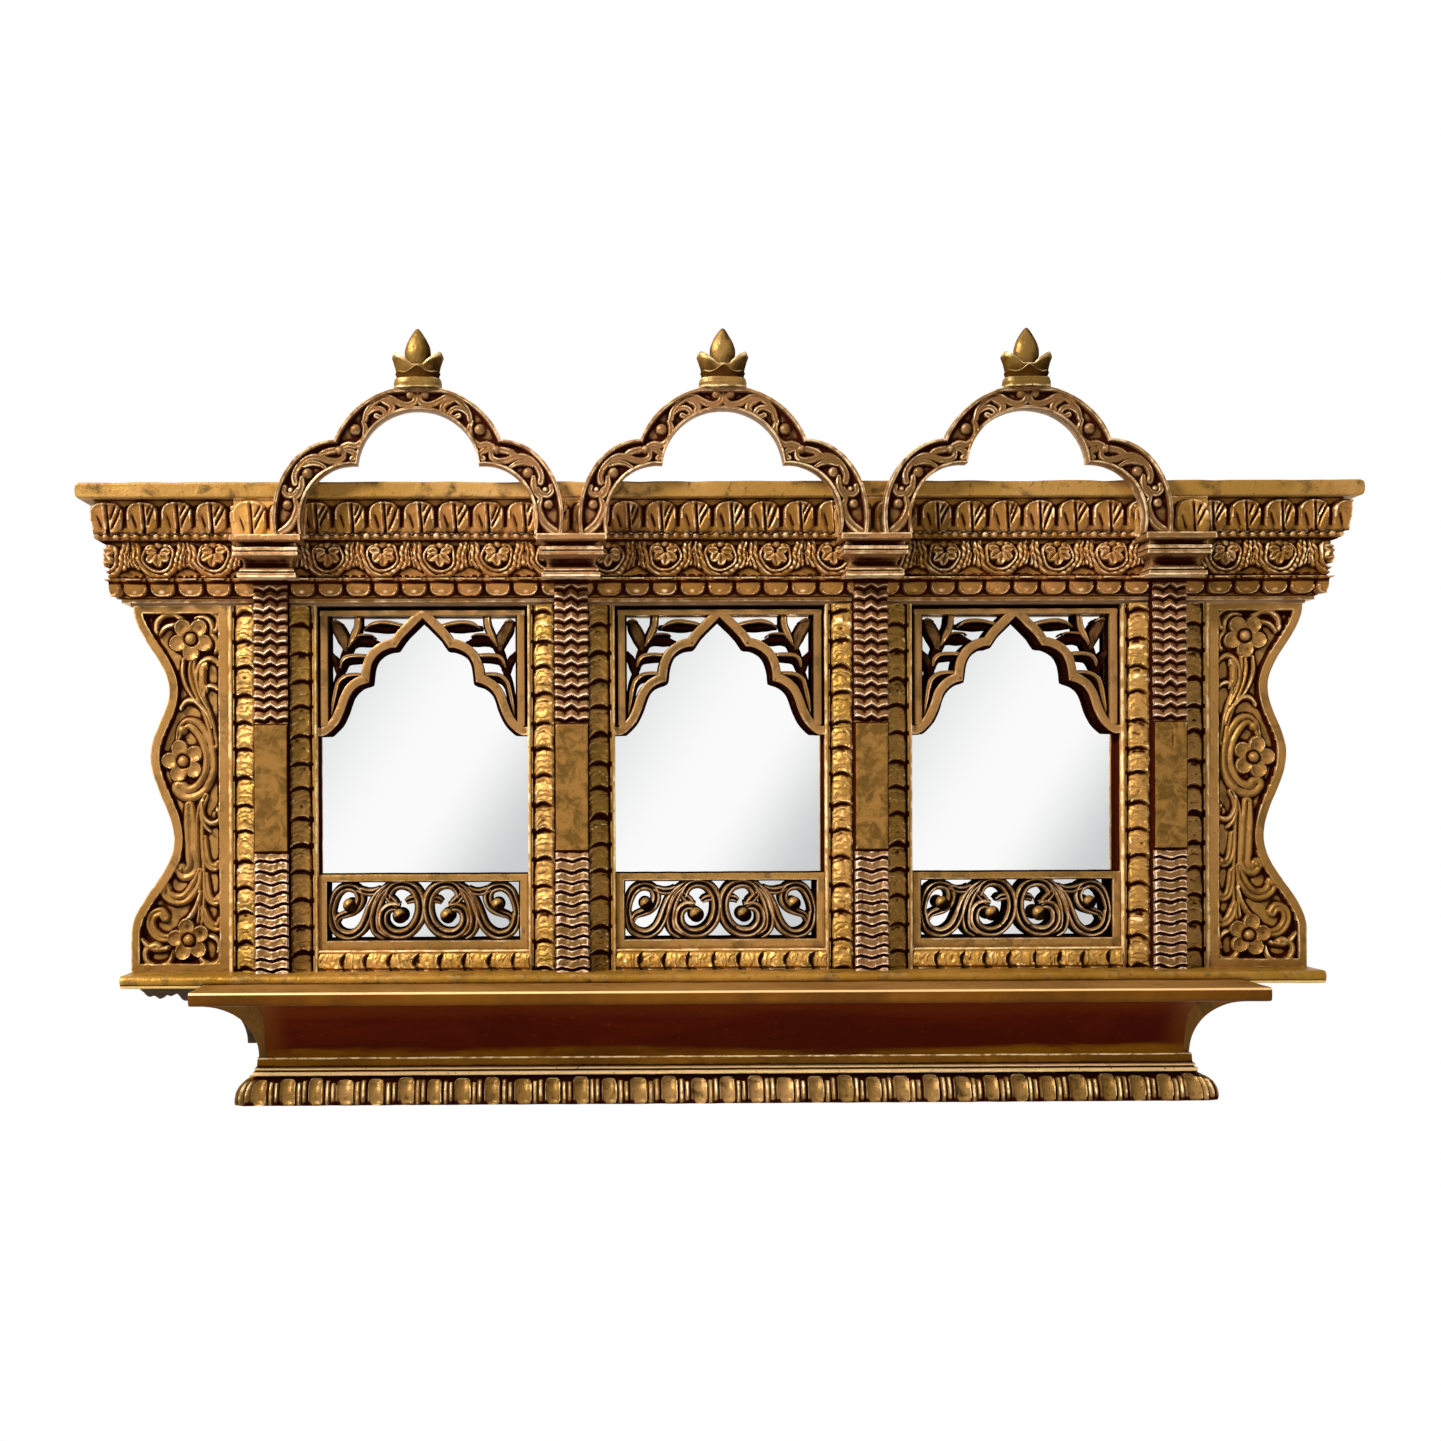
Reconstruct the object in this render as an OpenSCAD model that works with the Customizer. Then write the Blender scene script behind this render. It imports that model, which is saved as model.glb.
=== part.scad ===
// Wall mirror in three bays, built like a carved balcony window in gilded wood.
// Millimetres. X runs across the mirror, Z is up and the front faces -Y.
// The wall is the plane y = 0. The origin lies on it, midway between the two keyhole plates.
// Distances called "out" are measured from the wall towards the viewer.

/* [Bays] */
// Distance from one pilaster's centre line to the next
bay_pitch = 286; // [280:1:300]
// Width of a window opening
window_w = 202; // [186:1:204]
// Height of a window opening
window_h = 331; // [300:1:370]
// Height of the rail under each window
bottom_rail_h = 20; // [14:1:30]
// Height of the top rail, from the windows to the top board
top_rail_h = 99; // [90:1:120]
// Overhang of the top rail past the outer stiles, behind the brackets' heads
rail_overhang = 94; // [80:1:110]
// Distance from the top rail's upper edge down to the keyholes
keyhole_drop = 30; // [29:1:45]
// Thickness of the frame, from the wall to its face
frame_t = 38; // [32:1:46]

/* [Glass] */
// Depth of the rebate in the back of the frame
rebate_d = 19; // [14:0.5:22]
// Width of the rebate behind the edge of an opening
rebate_w = 7; // [5:0.5:9]
// Thickness of a mirror pane
mirror_t = 3; // [2:0.5:4]
// Thickness of a backing sheet
backing_t = 4; // [3:0.5:6]
// Gap round a pane in its rebate
pane_gap = 1; // [0.5:0.25:2]

/* [Pilasters] */
// Width of a pilaster
pilaster_w = 32; // [24:1:38]
// Thickness of a pilaster on the frame's face
pilaster_t = 18; // [12:1:24]
// Depth of the ground between the chevrons
chevron_d = 4; // [2:0.5:6]
// Height of one chevron and its groove
chevron_pitch = 10.3; // [8:0.1:14]
// Rise of the chevron's middle peak
chevron_rise = 4; // [2:0.5:5]
// Height of the plain block in the middle
block_h = 122; // [60:1:150]
// Height of the foot of carving below the plain block
block_foot_h = 115; // [80:1:130]

/* [Lobed borders] */
// Width of the lobed border beside a pilaster
border_w = 21; // [14:1:22]
// Length of one lobe down the border
lobe_pitch = 26.2; // [18:0.1:32]
// Height that the lobes stand off the frame
lobe_h = 5; // [3:0.5:8]
// Length of one lobe along the bottom rail
sill_lobe_pitch = 23.6; // [16:0.1:30]

/* [Window panels] */
// Thickness of the pierced panels
panel_t = 12; // [8:0.5:13]
// Distance of the panels' face behind the frame's face
panel_inset = 2; // [1:0.5:3]
// Height of the arched panel at the sides of the window
arch_panel_h = 125; // [118:1:140]
// Drop from the top of the window to the point of the arch
arch_point_drop = 16; // [15:1:20]
// Width of the side rails of the window panels
side_rail_w = 8; // [6:0.5:10]
// Height of the arched panel's top rail
head_rail_h = 6; // [4:0.5:8]
// Width of the band that follows the cusps
cusp_band_w = 8.5; // [7:0.5:9]
// Width of a carved leaf in the arched panel
leaf_w = 7; // [5:0.5:9]
// Height of the scroll panel
scroll_panel_h = 73; // [66:1:84]
// Height of the scroll panel's upper rail
scroll_rail_h = 7; // [5:0.5:9]
// Height of the scroll panel's lower rail
scroll_foot_h = 9.5; // [6:0.5:12]
// Width of the strip that a scroll is cut from
scroll_strip_w = 6; // [4:0.5:8]
// Radius of a scroll's eye
scroll_eye_r = 6; // [4:0.5:8]

/* [Cornice] */
// Thickness of the top board
top_board_t = 15; // [12:0.5:20]
// Reach of the top board past the top rail's ends
top_board_side = 45.5; // [42:0.5:55]
// Reach of the top board out from the frame's face
top_board_out = 28; // [26:0.5:34]
// Height of the leaf frieze under the top board
leaf_frieze_h = 32; // [26:1:38]
// Reach of the leaf frieze past the top rail's ends
leaf_frieze_side = 35; // [32:0.5:40]
// Reach of the leaf frieze out from the frame's face
leaf_frieze_out = 22; // [20:0.5:25]
// Width of one leaf
leaf_pitch = 32.8; // [26:0.1:40]
// Height of the row of beads
bead_h = 7; // [5:0.5:9]
// Distance from bead to bead
bead_pitch = 10; // [8:0.1:14]
// Reach of the beads past the top rail's ends
bead_side = 30.5; // [28:0.5:32]
// Reach of the beads out from the frame's face
bead_out = 19; // [17:0.5:20]
// Height of the flower frieze
flower_frieze_h = 35; // [32:1:40]
// Reach of the flower frieze past the top rail's ends
flower_frieze_side = 21; // [18:0.5:25]
// Reach of the flower frieze out from the frame's face
flower_frieze_out = 14; // [12:0.5:16]
// Radius of a flower's round
flower_r = 15.5; // [12:0.5:17]
// Distance from flower to flower
flower_pitch = 53.6; // [44:0.1:60]
// Height of the scalloped moulding
scallop_h = 22; // [18:0.5:25]
// Reach of the scallops past the top rail's ends at the top
scallop_side = 18; // [15:0.5:21]
// Reach of the scallops out from the frame's face at the top
scallop_out = 12; // [9:0.5:12]
// Amount that the scallops draw in at the bottom
scallop_draw = 7; // [4:0.5:8]
// Distance from scallop to scallop
scallop_pitch = 26; // [20:0.1:32]
// Depth of the carving on the friezes
relief_d = 3; // [1.5:0.5:4]

/* [Capitals] */
// Thickness of the capital's top slab
abacus_h = 6; // [4:0.5:8]
// Overhang of the top slab past the pilaster's side
abacus_side = 17; // [14:0.5:20]
// Steps forward for each step sideways
capital_forward = 1.76; // [1.6:0.02:1.9]
// Half width of the tongue let into the flower frieze
capital_tongue = 22; // [16:1:22]
// Half width of the leaf block over a capital
leaf_block_half = 36; // [33:0.5:40]
// Reach of the leaf block in front of the leaf frieze
leaf_block_out = 6; // [3:0.5:6]

/* [Arches] */
// Thickness of an arch
arch_t = 18; // [14:0.5:18]
// Distance from a pilaster's centre line to the foot of an arch
arch_gap = 7; // [5:0.5:10]
// Width of an arch's foot
arch_foot_w = 26; // [20:0.5:28]
// Height of an arch from its feet to its crown
arch_h = 138.6; // [125:0.1:150]
// Height of the crown's centre over the feet
crown_centre_h = 65; // [60:0.5:70]
// Half width of the outer crown
crown_half = 82; // [78:0.5:86]
// Height of the side lobes' centres over the feet
haunch_centre_h = 15; // [12:0.5:18]
// Half width of a side lobe
haunch_half = 58; // [56:0.5:62]
// Rise of a side lobe over its centre
haunch_rise = 73; // [70:0.5:76]
// Depth of the carved groove round an arch
groove_d = 3; // [1.5:0.5:4]
// Width of an arch's outer rim
arch_rim = 3.5; // [2.5:0.5:5]
// Width of an arch's inner rim
arch_bevel = 6; // [4:0.5:7]
// Depth of the arch's band at the crown
crown_band = 22; // [18:0.5:26]
// Diameter of the dowels
dowel_d = 6; // [4:0.5:6]
// Length of a dowel
dowel_l = 28; // [22:1:28]

/* [Finials] */
// Height of a finial over its seat
finial_h = 60; // [54:1:66]
// Radius of a finial's foot
finial_foot_r = 22.5; // [18:0.5:26]
// Radius over the tips of the finial's leaves
finial_leaf_r = 24.5; // [20:0.5:28]
// Radius of the bud
bud_r = 13; // [10:0.5:15]
// Thickness of a finial, from its flat back to its flat front
finial_t = 31; // [26:1:40]

/* [Brackets] */
// Thickness of a bracket
bracket_t = 26; // [20:1:30]
// Distance of a bracket's head inside the top rail's end
bracket_head_inset = 2; // [0:0.5:6]
// Width of the upper neck
bracket_neck_w = 58; // [50:0.5:66]
// Width at the belly
bracket_belly_w = 76; // [68:0.5:84]
// Width of the lower waist
bracket_waist_w = 54; // [46:0.5:62]
// Width of the foot
bracket_foot_w = 95.5; // [86:0.5:102]
// Width of the rim round the carved ground
bracket_rim = 9; // [6:0.5:12]
// Width of the plain strip beside the frame
bracket_strip = 11; // [9:0.5:13]
// Depth of the carved ground
bracket_ground_d = 7; // [4:0.5:10]
// Radius of a bracket's flowers
bracket_flower_r = 18; // [14:0.5:20]
// Radius of the scroll round the middle flower
bracket_scroll_r = 29; // [26:0.5:31]

/* [Sill and shelf] */
// Thickness of the sill
sill_t = 12; // [9:0.5:16]
// Reach of the sill out from the frame's face
sill_out = 40; // [30:1:50]
// Overhang of the sill past the bracket's foot
sill_side = 1.5; // [0:0.5:8]
// Thickness of the shelf
shelf_t = 13; // [11:0.5:18]
// Height of the shelf's face over the sill's underside
shelf_lip_h = 4; // [2:0.5:6]
// Reach of the shelf past the frame's sides
shelf_side = 19; // [12:1:30]
// Reach of the shelf out from the sill's edge
shelf_out = 65; // [50:1:80]
// Height of the hollow moulding under the shelf
hollow_h = 55; // [45:1:65]
// Distance of the hollow's ends inside the base's ends
hollow_inset = 8; // [4:1:14]
// Thickness of the hollow moulding at its foot
hollow_t = 22; // [16:1:28]
// Reach of the hollow moulding's foot out from the frame's face
hollow_foot_out = 45; // [40:1:50]
// Distance of the hollow's top edge behind the shelf's edge
hollow_setback = 7; // [4:0.5:12]
// Distance of a wing's top corner inside the shelf's end
wing_setback = 1; // [0:0.5:6]
// Height of the straight edge at a wing's top
wing_lip = 8; // [4:0.5:12]

/* [Base] */
// Distance of the base's ends inside the frame's sides
base_inset = 33; // [28:1:40]
// Height of the neck over the base
neck_h = 9; // [6:0.5:12]
// Height of the twin fillets
fillet_h = 8; // [6:0.5:10]
// Height of the carved base row
base_h = 26; // [22:0.5:30]
// Spread of the base row from its top to its foot
base_spread = 17; // [12:0.5:20]
// Thickness of the base's walls
base_wall = 24; // [22:1:30]
// Thickness of the closing board under the base
base_board_t = 6; // [4:0.5:9]
// Thickness of the backboard behind the shelf
backboard_t = 12; // [9:0.5:16]
// Amount that the backboard shows beside a wing's foot
backboard_show = 22; // [14:1:26]
// Height of the backboard's lower edge over the base
backboard_rise = 4; // [2:0.5:8]
// Depth of the backboard's rough ear under the sill's left end
ear_h = 14; // [8:1:20]

/* [Fixings] */
// Distance from one keyhole plate to the other
plate_spacing = 572; // [400:1:700]
// Width of a keyhole plate
plate_w = 26; // [22:1:34]
// Height of a keyhole plate
plate_h = 56; // [52:1:58]
// Thickness of a keyhole plate
plate_t = 2; // [1.5:0.25:3]
// Radius of the keyhole's round
keyhole_r = 5.5; // [5:0.25:6]
// Width of the keyhole's slot
keyhole_slot_w = 5; // [4:0.25:5.5]
// Length of the keyhole's slot
keyhole_slot_l = 13; // [9:0.5:14]
// Depth of the pocket for the wall screw's head
pocket_d = 12; // [9:0.5:16]
// Diameter of the plate screws
screw_d = 3.5; // [3:0.1:4]
// Length of the plate screws
screw_l = 18; // [12:1:24]
// Diameter of the pins that hold the backing sheets
pin_d = 1.6; // [1.2:0.1:2]
// Length of the pins
pin_l = 12; // [9:0.5:14]
// Fitting gap round pins, screws and dowels
fit_gap = 0.05; // [0.02:0.01:0.1]

/* [Hidden] */
$fn = 48;
bays = 3;
stiles = bays + 1;
stile_w = bay_pitch - window_w;
frame_half = bay_pitch * bays / 2 + stile_w / 2;
rail_half = frame_half + rail_overhang;
arch_half = bay_pitch / 2 - arch_gap;
shelf_half = frame_half + shelf_side;
base_half = frame_half - base_inset;
hollow_half = base_half - hollow_inset;

// Heights, measured from the keyholes' centre line
rail_top_z = keyhole_drop;
window_top_z = rail_top_z - top_rail_h;
window_low_z = window_top_z - window_h;
sill_top_z = window_low_z - bottom_rail_h;
sill_low_z = sill_top_z - sill_t;
shelf_top_z = sill_low_z + shelf_lip_h;
shelf_low_z = shelf_top_z - shelf_t;
hollow_low_z = shelf_low_z - hollow_h;
neck_low_z = hollow_low_z - neck_h;
base_top_z = neck_low_z - fillet_h;
base_low_z = base_top_z - base_h;
leaf_low_z = rail_top_z - leaf_frieze_h;
bead_low_z = leaf_low_z - bead_h;
flower_low_z = bead_low_z - flower_frieze_h;
scallop_low_z = flower_low_z - scallop_h;

// Faces, measured out from the wall
sill_face = frame_t + sill_out;
shelf_face = sill_face + shelf_out;
hollow_foot = frame_t + hollow_foot_out;
pilaster_face = frame_t + pilaster_t;
top_board_face = frame_t + top_board_out;
leaf_face = frame_t + leaf_frieze_out;
bead_face = frame_t + bead_out;
flower_face = frame_t + flower_frieze_out;
block_face = leaf_face + leaf_block_out;
panel_face = frame_t - panel_inset;
housing_face = frame_t + 6;
arch_back = max(top_board_face, block_face);
arch_face = arch_back + arch_t;

// Capital, from its foot to the top of its slab
capital_low_z = flower_low_z - 2;
abacus_top_z = bead_low_z + 2;
abacus_half = pilaster_w / 2 + abacus_side;
capital_body_h = abacus_top_z - abacus_h - capital_low_z;
// Half width less that of the top slab, and share of the body's height
capital_steps = [
    [-5.5, 0], [-6, 0.12], [-8, 0.12], [-8, 0.15], [-7.5, 0.15], [-9.5, 0.27], [-10, 0.27], [-10, 0.42],
    [-9.2, 0.5], [-8, 0.55], [-6.5, 0.58], [-3, 0.59], [-3, 0.7], [-4, 0.71], [-4, 0.73], [-3, 0.74],
    [-3, 0.84], [-4.5, 0.84], [-4.5, 1], [0, 1]
];

// Brackets: share of the height below the top, and the width there
bracket_keys = [
    [0, rail_overhang - bracket_head_inset], [0.23, bracket_neck_w], [0.41, bracket_belly_w],
    [0.64, bracket_waist_w], [0.9, bracket_foot_w], [1, bracket_foot_w]
];

curve_steps = 8;
gold = [0.72, 0.53, 0.22];
dark_gold = [0.42, 0.27, 0.1];
wood = [0.45, 0.31, 0.18];

function ease(t) = (1 - cos(180 * t)) / 2;
function flip(points) = [for (i = [len(points) - 1:-1:0]) points[i]];
function mirrored(points) = concat([for (p = flip(points)) [-p[0], p[1]]], points);
function stile_x(i) = (i - (stiles + 1) / 2) * bay_pitch;
function bay_x(i) = (i - (bays + 1) / 2) * bay_pitch;

// Points along a bowed line from p to q, without q. Positive bow is to the left of the way.
function bowed(p, q, bow, steps = curve_steps) =
    let (d = q - p, n = [-d[1], d[0]] / norm(d))
    [for (k = [0:steps - 1]) let (t = k / steps) p + d * t + n * bow * 4 * t * (1 - t)];

// Points on an ellipse, turning from angle a to angle b
function ellipse(c, rx, rz, a, b, steps = curve_steps) =
    [for (k = [0:steps]) let (t = a + (b - a) * k / steps) c + [rx * cos(t), rz * sin(t)]];

// Row of half-round lobes from a to b, standing h over the base line
function lobes(a, b, pitch, h, base, steps = 4) =
    let (n = max(1, round(abs(b - a) / pitch)), w = (b - a) / n)
    [for (i = [0:n - 1], k = [0:steps - 1])
        let (t = k / steps) [a + w * (i + t), base + h * sin(180 * t)]];

// A box from its limits: across, out from the wall, and up
module block(x0, x1, out0, out1, z0, z1) {
    translate([x0, -out1, z0]) cube([x1 - x0, out1 - out0, z1 - z0]);
}

// An outline in x and z, standing between two distances from the wall
module upright(out0, out1) {
    translate([0, -out0, 0]) rotate([90, 0, 0]) linear_extrude(out1 - out0) children();
}

// A profile of [out, z] points run along X
module run(x0, x1, points) {
    translate([x0, 0, 0]) rotate([90, 0, 90]) linear_extrude(x1 - x0)
        polygon([for (p = points) [-p[0], p[1]]]);
}

// A moulding that returns to the wall at both ends. Each step is [half width, out, z], going up.
module returned(steps) {
    last = len(steps) - 1;
    wide = max([for (s = steps) s[0]]);
    deep = max([for (s = steps) s[1]]);
    intersection() {
        run(-wide, wide, concat([[0, steps[0][2]]], [for (s = steps) [s[1], s[2]]], [[0, steps[last][2]]]));
        upright(0, deep) polygon(mirrored([for (s = steps) [s[0], s[2]]]));
    }
}

// A flat-topped layer round the top rail, with lobes along its front and its sides
module lobed_layer(side, out, z0, z1, pitch, h) {
    half = rail_half + side;
    face = frame_t + out;
    front = [for (p = lobes(-half + h, half - h, pitch, h, face - h)) [p[0], -p[1]]];
    right = [for (p = lobes(face - h, 0, pitch, h, half - h)) [p[1], -p[0]]];
    left = [for (p = lobes(0, face - h, pitch, h, half - h)) [-p[1], -p[0]]];
    translate([0, 0, z0]) linear_extrude(z1 - z0)
        polygon(concat(front, right, [[half - h, 0]], [[rail_half, 0], [rail_half, -frame_t]],
            [[-rail_half, -frame_t], [-rail_half, 0], [-half + h, 0]], left));
}

// The same layer with plain faces
module plain_layer(side, out, z0, z1) {
    half = rail_half + side;
    difference() {
        block(-half, half, 0, frame_t + out, z0, z1);
        rail_envelope();
    }
}

module rail_envelope() {
    block(-rail_half, rail_half, -1, frame_t, window_top_z, rail_top_z);
}

module screw_hole(x, z, r, l) {
    translate([x, 0, z]) rotate([90, 0, 0]) cylinder(r = r, h = l);
}

// Places of the screws that hold the keyhole plates
plate_screw_z = plate_h / 2 - 7;
function plate_xs() = [-plate_spacing / 2, plate_spacing / 2];

// Places of the pins, as shares of the window's height
pin_shares = [0.2, 0.8];
function pin_z(share) = window_low_z + window_h * share;
pin_out = rebate_d - mirror_t - backing_t - pin_d / 2;

// Frame
module rebate(i) {
    block(bay_x(i) - window_w / 2 - rebate_w, bay_x(i) + window_w / 2 + rebate_w, -1, rebate_d,
        window_low_z - rebate_w, window_top_z + rebate_w);
}

module pins_at(i, r) {
    for (share = pin_shares, side = [-1, 1])
        translate([bay_x(i) + side * (window_w / 2 + rebate_w - pin_l / 2), -pin_out, pin_z(share)])
            rotate([0, side * 90, 0]) cylinder(r = r, h = pin_l);
}

module frame_stile(i) {
    x = stile_x(i);
    color(dark_gold) difference() {
        union() {
            block(x - stile_w / 2, x + stile_w / 2, 0, frame_t, sill_top_z, window_top_z);
            for (side = [-1, 1]) {
                near = side * pilaster_w / 2;
                far = side * (pilaster_w / 2 + border_w);
                run(x + min(near, far), x + max(near, far), concat([[frame_t - 2, sill_top_z]],
                    [for (p = lobes(sill_top_z, window_top_z, lobe_pitch, lobe_h, frame_t)) [p[1], p[0]]],
                    [[frame_t, window_top_z], [frame_t - 2, window_top_z]]));
            }
        }
        if (i > 1) rebate(i - 1);
        if (i < stiles) rebate(i);
        if (i > 1) pins_at(i - 1, pin_d / 2 + fit_gap);
        if (i < stiles) pins_at(i, pin_d / 2 + fit_gap);
    }
}

module bottom_rail(i) {
    x = bay_x(i);
    half = window_w / 2;
    color(dark_gold) difference() {
        union() {
            block(x - half, x + half, 0, frame_t, sill_top_z, window_low_z);
            translate([x, 0, sill_top_z]) linear_extrude(bottom_rail_h) polygon(concat(
                [[-half, -frame_t + 2]],
                [for (p = lobes(-half, half, sill_lobe_pitch, lobe_h, frame_t)) [p[0], -p[1]]],
                [[half, -frame_t], [half, -frame_t + 2]]));
        }
        rebate(i);
    }
}

module top_rail() {
    color(wood) difference() {
        block(-rail_half, rail_half, 0, frame_t, window_top_z, rail_top_z);
        for (i = [1:bays]) rebate(i);
        for (x = plate_xs()) {
            block(x - plate_w / 2, x + plate_w / 2, -1, plate_t, -plate_h / 2, plate_h / 2);
            block(x - keyhole_r - 1, x + keyhole_r + 1, 0, pocket_d, -keyhole_r - 1, keyhole_slot_l + 4);
            for (side = [-1, 1]) screw_hole(x, side * plate_screw_z, screw_d / 2 + fit_gap, screw_l + 1);
        }
    }
}

// Pilasters and capitals
module chevrons(x, z0, z1) {
    half = pilaster_w / 2;
    count = floor((z1 - z0 - chevron_rise) / chevron_pitch);
    ridge = chevron_pitch * 0.55;
    wave = [[-half, 0.4], [-half / 2, 0], [0, 1], [half / 2, 0], [half, 0.4]];
    for (k = [0:count - 1]) {
        low = z0 + k * chevron_pitch;
        upright(pilaster_face - chevron_d - 1, pilaster_face) translate([x, 0]) polygon(concat(
            [for (p = wave) [p[0], low + p[1] * chevron_rise]],
            [for (p = flip(wave)) [p[0], low + ridge + p[1] * chevron_rise]]));
    }
}

module pilaster(i) {
    x = stile_x(i);
    half = pilaster_w / 2;
    block_low = sill_top_z + block_foot_h;
    color(gold) difference() {
        union() {
            block(x - half, x + half, frame_t, pilaster_face - chevron_d, sill_top_z, capital_low_z);
            block(x - half, x + half, frame_t, pilaster_face, block_low, block_low + block_h);
            chevrons(x, sill_top_z + 1, block_low);
            chevrons(x, block_low + block_h + 1, capital_low_z);
        }
        block(x - half - 1, x + half + 1, 0, housing_face, scallop_low_z, capital_low_z + 1);
    }
}

module capital(i) {
    x = stile_x(i);
    outline = concat([for (s = capital_steps) [abacus_half + s[0], capital_low_z + s[1] * capital_body_h]],
        [[abacus_half, abacus_top_z]]);
    slab_face = pilaster_face + capital_forward * abacus_side;
    color(gold) union() {
        intersection() {
            translate([x, 0, 0]) upright(flower_face, slab_face) polygon(mirrored(outline));
            run(x - abacus_half, x + abacus_half, concat([[flower_face, capital_low_z]],
                [for (p = outline) [slab_face - capital_forward * (abacus_half - p[0]), p[1]]],
                [[bead_face, abacus_top_z], [bead_face, bead_low_z], [flower_face, bead_low_z]]));
        }
        block(x - capital_tongue, x + capital_tongue, housing_face, flower_face + 1,
            flower_low_z, bead_low_z);
    }
}

// Full-depth notches that let the capitals and pilasters into the cornice
module housings(half, out, z0, z1) {
    for (i = [1:stiles]) block(stile_x(i) - half, stile_x(i) + half, out, frame_t + 40, z0, z1);
}

// Cornice
module top_board() {
    half = rail_half + top_board_side;
    nose = top_board_t / 2;
    color(gold) union() {
        block(-half + nose, half - nose, 0, top_board_face, rail_top_z, rail_top_z + top_board_t);
        for (side = [-1, 1])
            translate([side * (half - nose), 0, rail_top_z + nose]) rotate([90, 0, 0])
                cylinder(r = nose, h = top_board_face);
    }
}

module leaf(x, w, h) {
    r = w / 2 - 1;
    translate([x, 0]) polygon(concat([[r, 0]], ellipse([0, h - r], r, r, 0, 180, 12), [[-r, 0]]));
}

module leaf_frieze() {
    half = rail_half + leaf_frieze_side;
    count = floor(2 * half / leaf_pitch);
    color(gold) difference() {
        union() {
            plain_layer(leaf_frieze_side, leaf_frieze_out - relief_d, leaf_low_z, rail_top_z);
            for (k = [0:count - 1])
                upright(leaf_face - relief_d - 1, leaf_face) translate([0, leaf_low_z])
                    leaf((k - (count - 1) / 2) * leaf_pitch, leaf_pitch, leaf_frieze_h - 2);
        }
        housings(leaf_block_half - 6, frame_t + 12, leaf_low_z - 1, rail_top_z + 1);
    }
}

module leaf_block(i) {
    x = stile_x(i);
    tongue = leaf_block_half - 6;
    w = leaf_block_half;
    ground = leaf_face + leaf_block_out - relief_d;
    color(gold) union() {
        block(x - w, x + w, leaf_face, ground, abacus_top_z, rail_top_z);
        block(x - tongue, x + tongue, frame_t + 12, leaf_face + 1, leaf_low_z, rail_top_z);
        for (side = [-1, 1])
            upright(ground - 1, block_face) translate([x, abacus_top_z])
                leaf(side * w / 2, w, rail_top_z - abacus_top_z - 2);
    }
}

module bead_strip() {
    color(gold) lobed_layer(bead_side, bead_out, bead_low_z, leaf_low_z, bead_pitch, bead_h / 2);
}

module flower_frieze() {
    half = rail_half + flower_frieze_side;
    count = floor((half - flower_r) / flower_pitch);
    ground = flower_face - relief_d;
    color(gold) difference() {
        union() {
            plain_layer(flower_frieze_side, flower_frieze_out - relief_d, flower_low_z, bead_low_z);
            for (k = [-count:count])
                translate([k * flower_pitch, -ground + 1, flower_low_z + flower_frieze_h / 2])
                    rotate([90, 0, 0]) cylinder(r = flower_r, h = relief_d + 1);
        }
        housings(capital_tongue, housing_face, flower_low_z - 1, bead_low_z + 1);
    }
}

module scallop_moulding() {
    side = rail_half + scallop_side;
    face = frame_t + scallop_out;
    low = scallop_low_z + 4;
    count = floor(side / scallop_pitch);
    color(gold) difference() {
        union() {
            returned([
                [side - scallop_draw - 3, face - scallop_draw - 3, scallop_low_z],
                [side - scallop_draw - 3, face - scallop_draw - 3, low],
                [side - scallop_draw, face - scallop_draw, low],
                [side - scallop_draw + 1, face - scallop_draw + 1, low + 5],
                [side - 3, face - 3, low + 11],
                [side, face, flower_low_z]
            ]);
            intersection() {
                for (k = [-count:count])
                    translate([k * scallop_pitch, 0, low]) rotate([90, 0, 0])
                        cylinder(r = scallop_pitch * 0.46, h = face);
                block(-side, side, frame_t, face, low, low + scallop_pitch / 2);
            }
        }
        rail_envelope();
        housings(pilaster_w / 2, housing_face, scallop_low_z - 1, capital_low_z);
    }
}

crown_h = arch_h - crown_centre_h;
valley_x = arch_half - haunch_half;
inner_half = arch_half - arch_foot_w;
inner_haunch_half = haunch_half - 9;
seat_z = abacus_top_z + crown_centre_h + crown_h * sqrt(1 - pow(finial_foot_r / crown_half, 2));
dowel_out = arch_back + arch_t / 3;

// A flat oval block
module oval(centre, rx, rz, out0, out1) {
    upright(out0, out1) polygon(ellipse(centre, rx, rz, 0, 360, 64));
}

// The three lobes of an arch's outer edge, drawn in by the amount given
module outer_lobes(inset, out0, out1) {
    oval([0, crown_centre_h], crown_half - inset, crown_h - inset, out0, out1);
    for (side = [-1, 1])
        oval([side * valley_x, haunch_centre_h], haunch_half - inset, haunch_rise - inset, out0, out1);
}

// The three lobes of an arch's opening, spread by the amount given
module inner_lobes(spread, out0, out1) {
    crown_rise = crown_h - crown_band + 4;
    rise = haunch_rise - 20.5;
    oval([0, crown_centre_h - 4], crown_half - 25 + spread, crown_rise + spread, out0, out1);
    for (side = [-1, 1])
        oval([side * (inner_half - inner_haunch_half), haunch_centre_h - 2],
            inner_haunch_half + spread, rise + spread, out0, out1);
    block(-valley_x, valley_x, out0, out1, -1, haunch_centre_h);
}

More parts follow.
